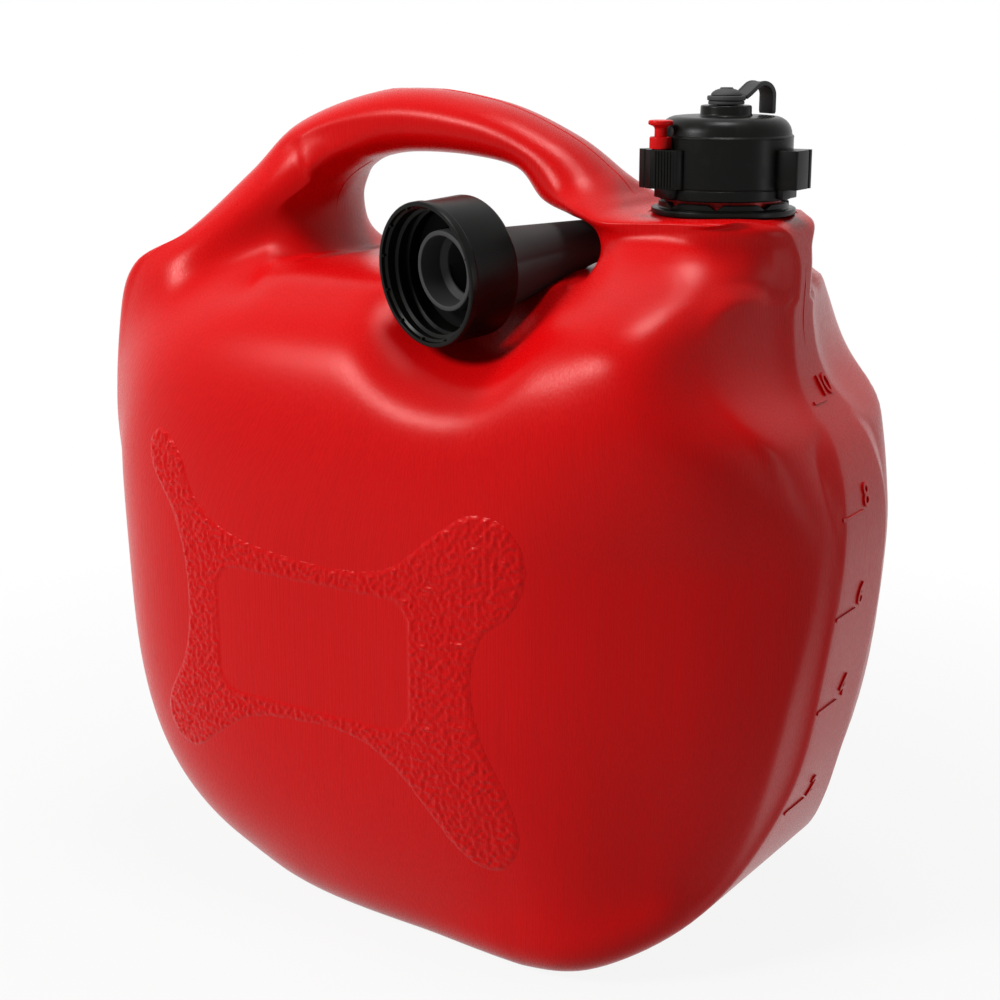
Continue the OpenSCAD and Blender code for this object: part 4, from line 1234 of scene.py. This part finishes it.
class CAN_OT_spout(bpy.types.Operator):
    """Turns the stored spout: its threaded collar, tapered tube and seal"""
    bl_idname = "can.spout"
    bl_label = "Spout"

    def execute(self, context):
        thread = helix_ridge(COLLAR_BORE_R, -1, *COLLAR_THREAD)
        teeth = ring_of_bars(
            Bars=1, Pitch=MM, Bar_radius=TOOTH_R * MM, Bar_height=TOOTH_H * MM,
            Distance=(COLLAR_BORE_R + TEETH_OUT) * MM, Rows=TEETH, Turn=TEETH_TURN,
            Finish=finish_named("cap_black"))
        teeth.moved(Matrix.Translation((0, 0, TOOTH_Z)))
        collar = gather(lathe(rounded(COLLAR, 4), 128), thread, teeth).moved(ON_SPOUT)
        piece_of("collar_threaded", collar, "cap_black", "collar", "black_plastic", "spout_collar", sharp=38)

        tube = swell_below(lathe(rounded(TUBE, 6))).moved(ON_SPOUT)
        piece_of("spout_pipe", tube, "soft_black", "spout", "soft_black", "spout_tube")

        seal = washer(14.3, 21.4, 15.2, 16.8, 0.3, 0.3).moved(ON_SPOUT)
        piece_of("spout_seal_ring", seal, "seal_black", "spout", "black_rubber", "spout_gasket")
        return {"FINISHED"}


def seen_by_camera(nodes):
    """1 for what the camera, a reflection or a see-through surface shows, and 0 for light."""
    path = nodes.add("ShaderNodeLightPath").outputs
    shown = nodes.sums("MAXIMUM", path["Is Camera Ray"], path["Is Glossy Ray"])
    return nodes.sums("MAXIMUM", shown, path["Is Transmission Ray"])


# Name of a light and of its power's setting, place and size, in metres
LIGHTS = (("key", (-0.7, -1.2, 1.05), (0.4, 0.4)), ("top", (0.05, 0.0, 1.45), (0.35, 0.35)),
          ("rim", (1.0, 0.1, 0.22), (0.1, 0.4)))
LIGHT_AIM, FLOOR_HALF = Vector((0, 0, 0.15)), 9000
# White share of the floor near the can and further off, and the distances between which it grows
FLOOR_WHITE, FLOOR_FADE = (0.9, 1.0), (0.2, 0.5)
SENSOR, LENS, AZIMUTH, PITCH, DISTANCE = 36.0, 67.3, math.radians(33.0), math.radians(14.5), 0.728
CAMERA_AIM = Vector((0, 0, 0.150))


class CAN_OT_stage(bpy.types.Operator):
    """Sets the floor, the studio light and the camera"""
    bl_idname = "can.stage"
    bl_label = "Stage"

    def execute(self, context):
        scene, settings = context.scene, context.scene.can_stage
        corners = [(x * FLOOR_HALF, y * FLOOR_HALF, 0) for x, y in ((-1, -1), (1, -1), (1, 1), (-1, 1))]
        floor = linked("floor", Shape().add(corners, [(0, 1, 2, 3)]).mesh("floor"))
        material, nodes, shader = new_finish("pale_floor")
        place = nodes.add("ShaderNodeTexCoord").outputs["Object"]
        speckle = nodes.noise(place, 40, 2)
        shade = nodes.blend(speckle, tint(settings.floor, 0.99), tint(settings.floor, 1.01))
        nodes.tree.links.new(shade, shader.inputs["Base Color"])
        shader.inputs["Roughness"].default_value = 0.9
        shader.inputs["Specular IOR Level"].default_value = 0.0
        white = nodes.add("ShaderNodeEmission", {"Color": (1, 1, 1, 1), "Strength": 1.0})
        away = nodes.add("ShaderNodeVectorMath", {0: place}, operation="LENGTH").outputs["Value"]
        share = nodes.sums("MULTIPLY", seen_by_camera(nodes), nodes.spread(away, *FLOOR_WHITE, *FLOOR_FADE))
        both = nodes.add("ShaderNodeMixShader", {
            0: share, 1: shader.outputs["BSDF"], 2: white.outputs["Emission"]})
        output = next(n for n in nodes.tree.nodes if n.bl_idname == "ShaderNodeOutputMaterial")
        nodes.tree.links.new(both.outputs["Shader"], output.inputs["Surface"])
        floor.data.materials.append(material)

        for name, place, size in LIGHTS:
            lamp = bpy.data.lights.new(name, "AREA")
            lamp.shape = "RECTANGLE"
            lamp.size, lamp.size_y = size
            lamp.energy = getattr(settings, name)
            holder = linked(name, lamp)
            holder.location = place
            holder.rotation_euler = (LIGHT_AIM - Vector(place)).to_track_quat("-Z", "Y").to_euler()

        world = bpy.data.worlds.new("studio")
        world.use_nodes = True
        scene.world = world
        world.node_tree.nodes.clear()
        nodes = Nodes(world.node_tree)
        strength = nodes.spread(seen_by_camera(nodes), settings.fill, 1.0)
        glow = nodes.add("ShaderNodeBackground", {"Color": (1, 1, 1, 1), "Strength": strength})
        output = nodes.add("ShaderNodeOutputWorld")
        world.node_tree.links.new(glow.outputs["Background"], output.inputs["Surface"])

        lens = bpy.data.cameras.new("camera")
        lens.sensor_width, lens.lens = SENSOR, LENS
        camera = linked("camera", lens)
        level = math.cos(PITCH)
        back = Vector((math.sin(AZIMUTH) * level, -math.cos(AZIMUTH) * level, math.sin(PITCH)))
        camera.location = CAMERA_AIM + back * DISTANCE
        camera.rotation_euler = (-back).to_track_quat("-Z", "Y").to_euler()
        scene.camera = camera
        scene.view_settings.view_transform = "Standard"
        return {"FINISHED"}


STEPS = (CAN_OT_tank, CAN_OT_marks, CAN_OT_field, CAN_OT_neck_ring, CAN_OT_cap, CAN_OT_lock, CAN_OT_stopper,
         CAN_OT_spout, CAN_OT_stage)


class CAN_PT_panel(bpy.types.Panel):
    """Settings and steps of the fuel can"""
    bl_idname = "CAN_PT_panel"
    bl_label = "Fuel can"
    bl_space_type = "VIEW_3D"
    bl_region_type = "UI"
    bl_category = "Fuel can"

    def draw(self, context):
        for group in (context.scene.can_tank, context.scene.can_trim, context.scene.can_stage):
            box = self.layout.box()
            for name in group.__annotations__:
                box.prop(group, name)
        for step in STEPS:
            self.layout.operator(step.bl_idname)


SETTINGS = (("can_tank", CanTankSettings), ("can_trim", CanTrimSettings), ("can_stage", CanStageSettings))


def register():
    for name, group in SETTINGS:
        bpy.utils.register_class(group)
        setattr(bpy.types.Scene, name, PointerProperty(type=group))
    for step in STEPS:
        bpy.utils.register_class(step)
    bpy.utils.register_class(CAN_PT_panel)


def unregister():
    bpy.utils.unregister_class(CAN_PT_panel)
    for step in reversed(STEPS):
        bpy.utils.unregister_class(step)
    for name, group in reversed(SETTINGS):
        delattr(bpy.types.Scene, name)
        bpy.utils.unregister_class(group)


def main():
    register()
    bpy.ops.can.tank()
    bpy.ops.can.marks()
    bpy.ops.can.field()
    bpy.ops.can.neck_ring()
    bpy.ops.can.cap()
    bpy.ops.can.lock()
    bpy.ops.can.stopper()
    bpy.ops.can.spout()
    bpy.ops.can.stage()


if __name__ == "__main__":
    main()
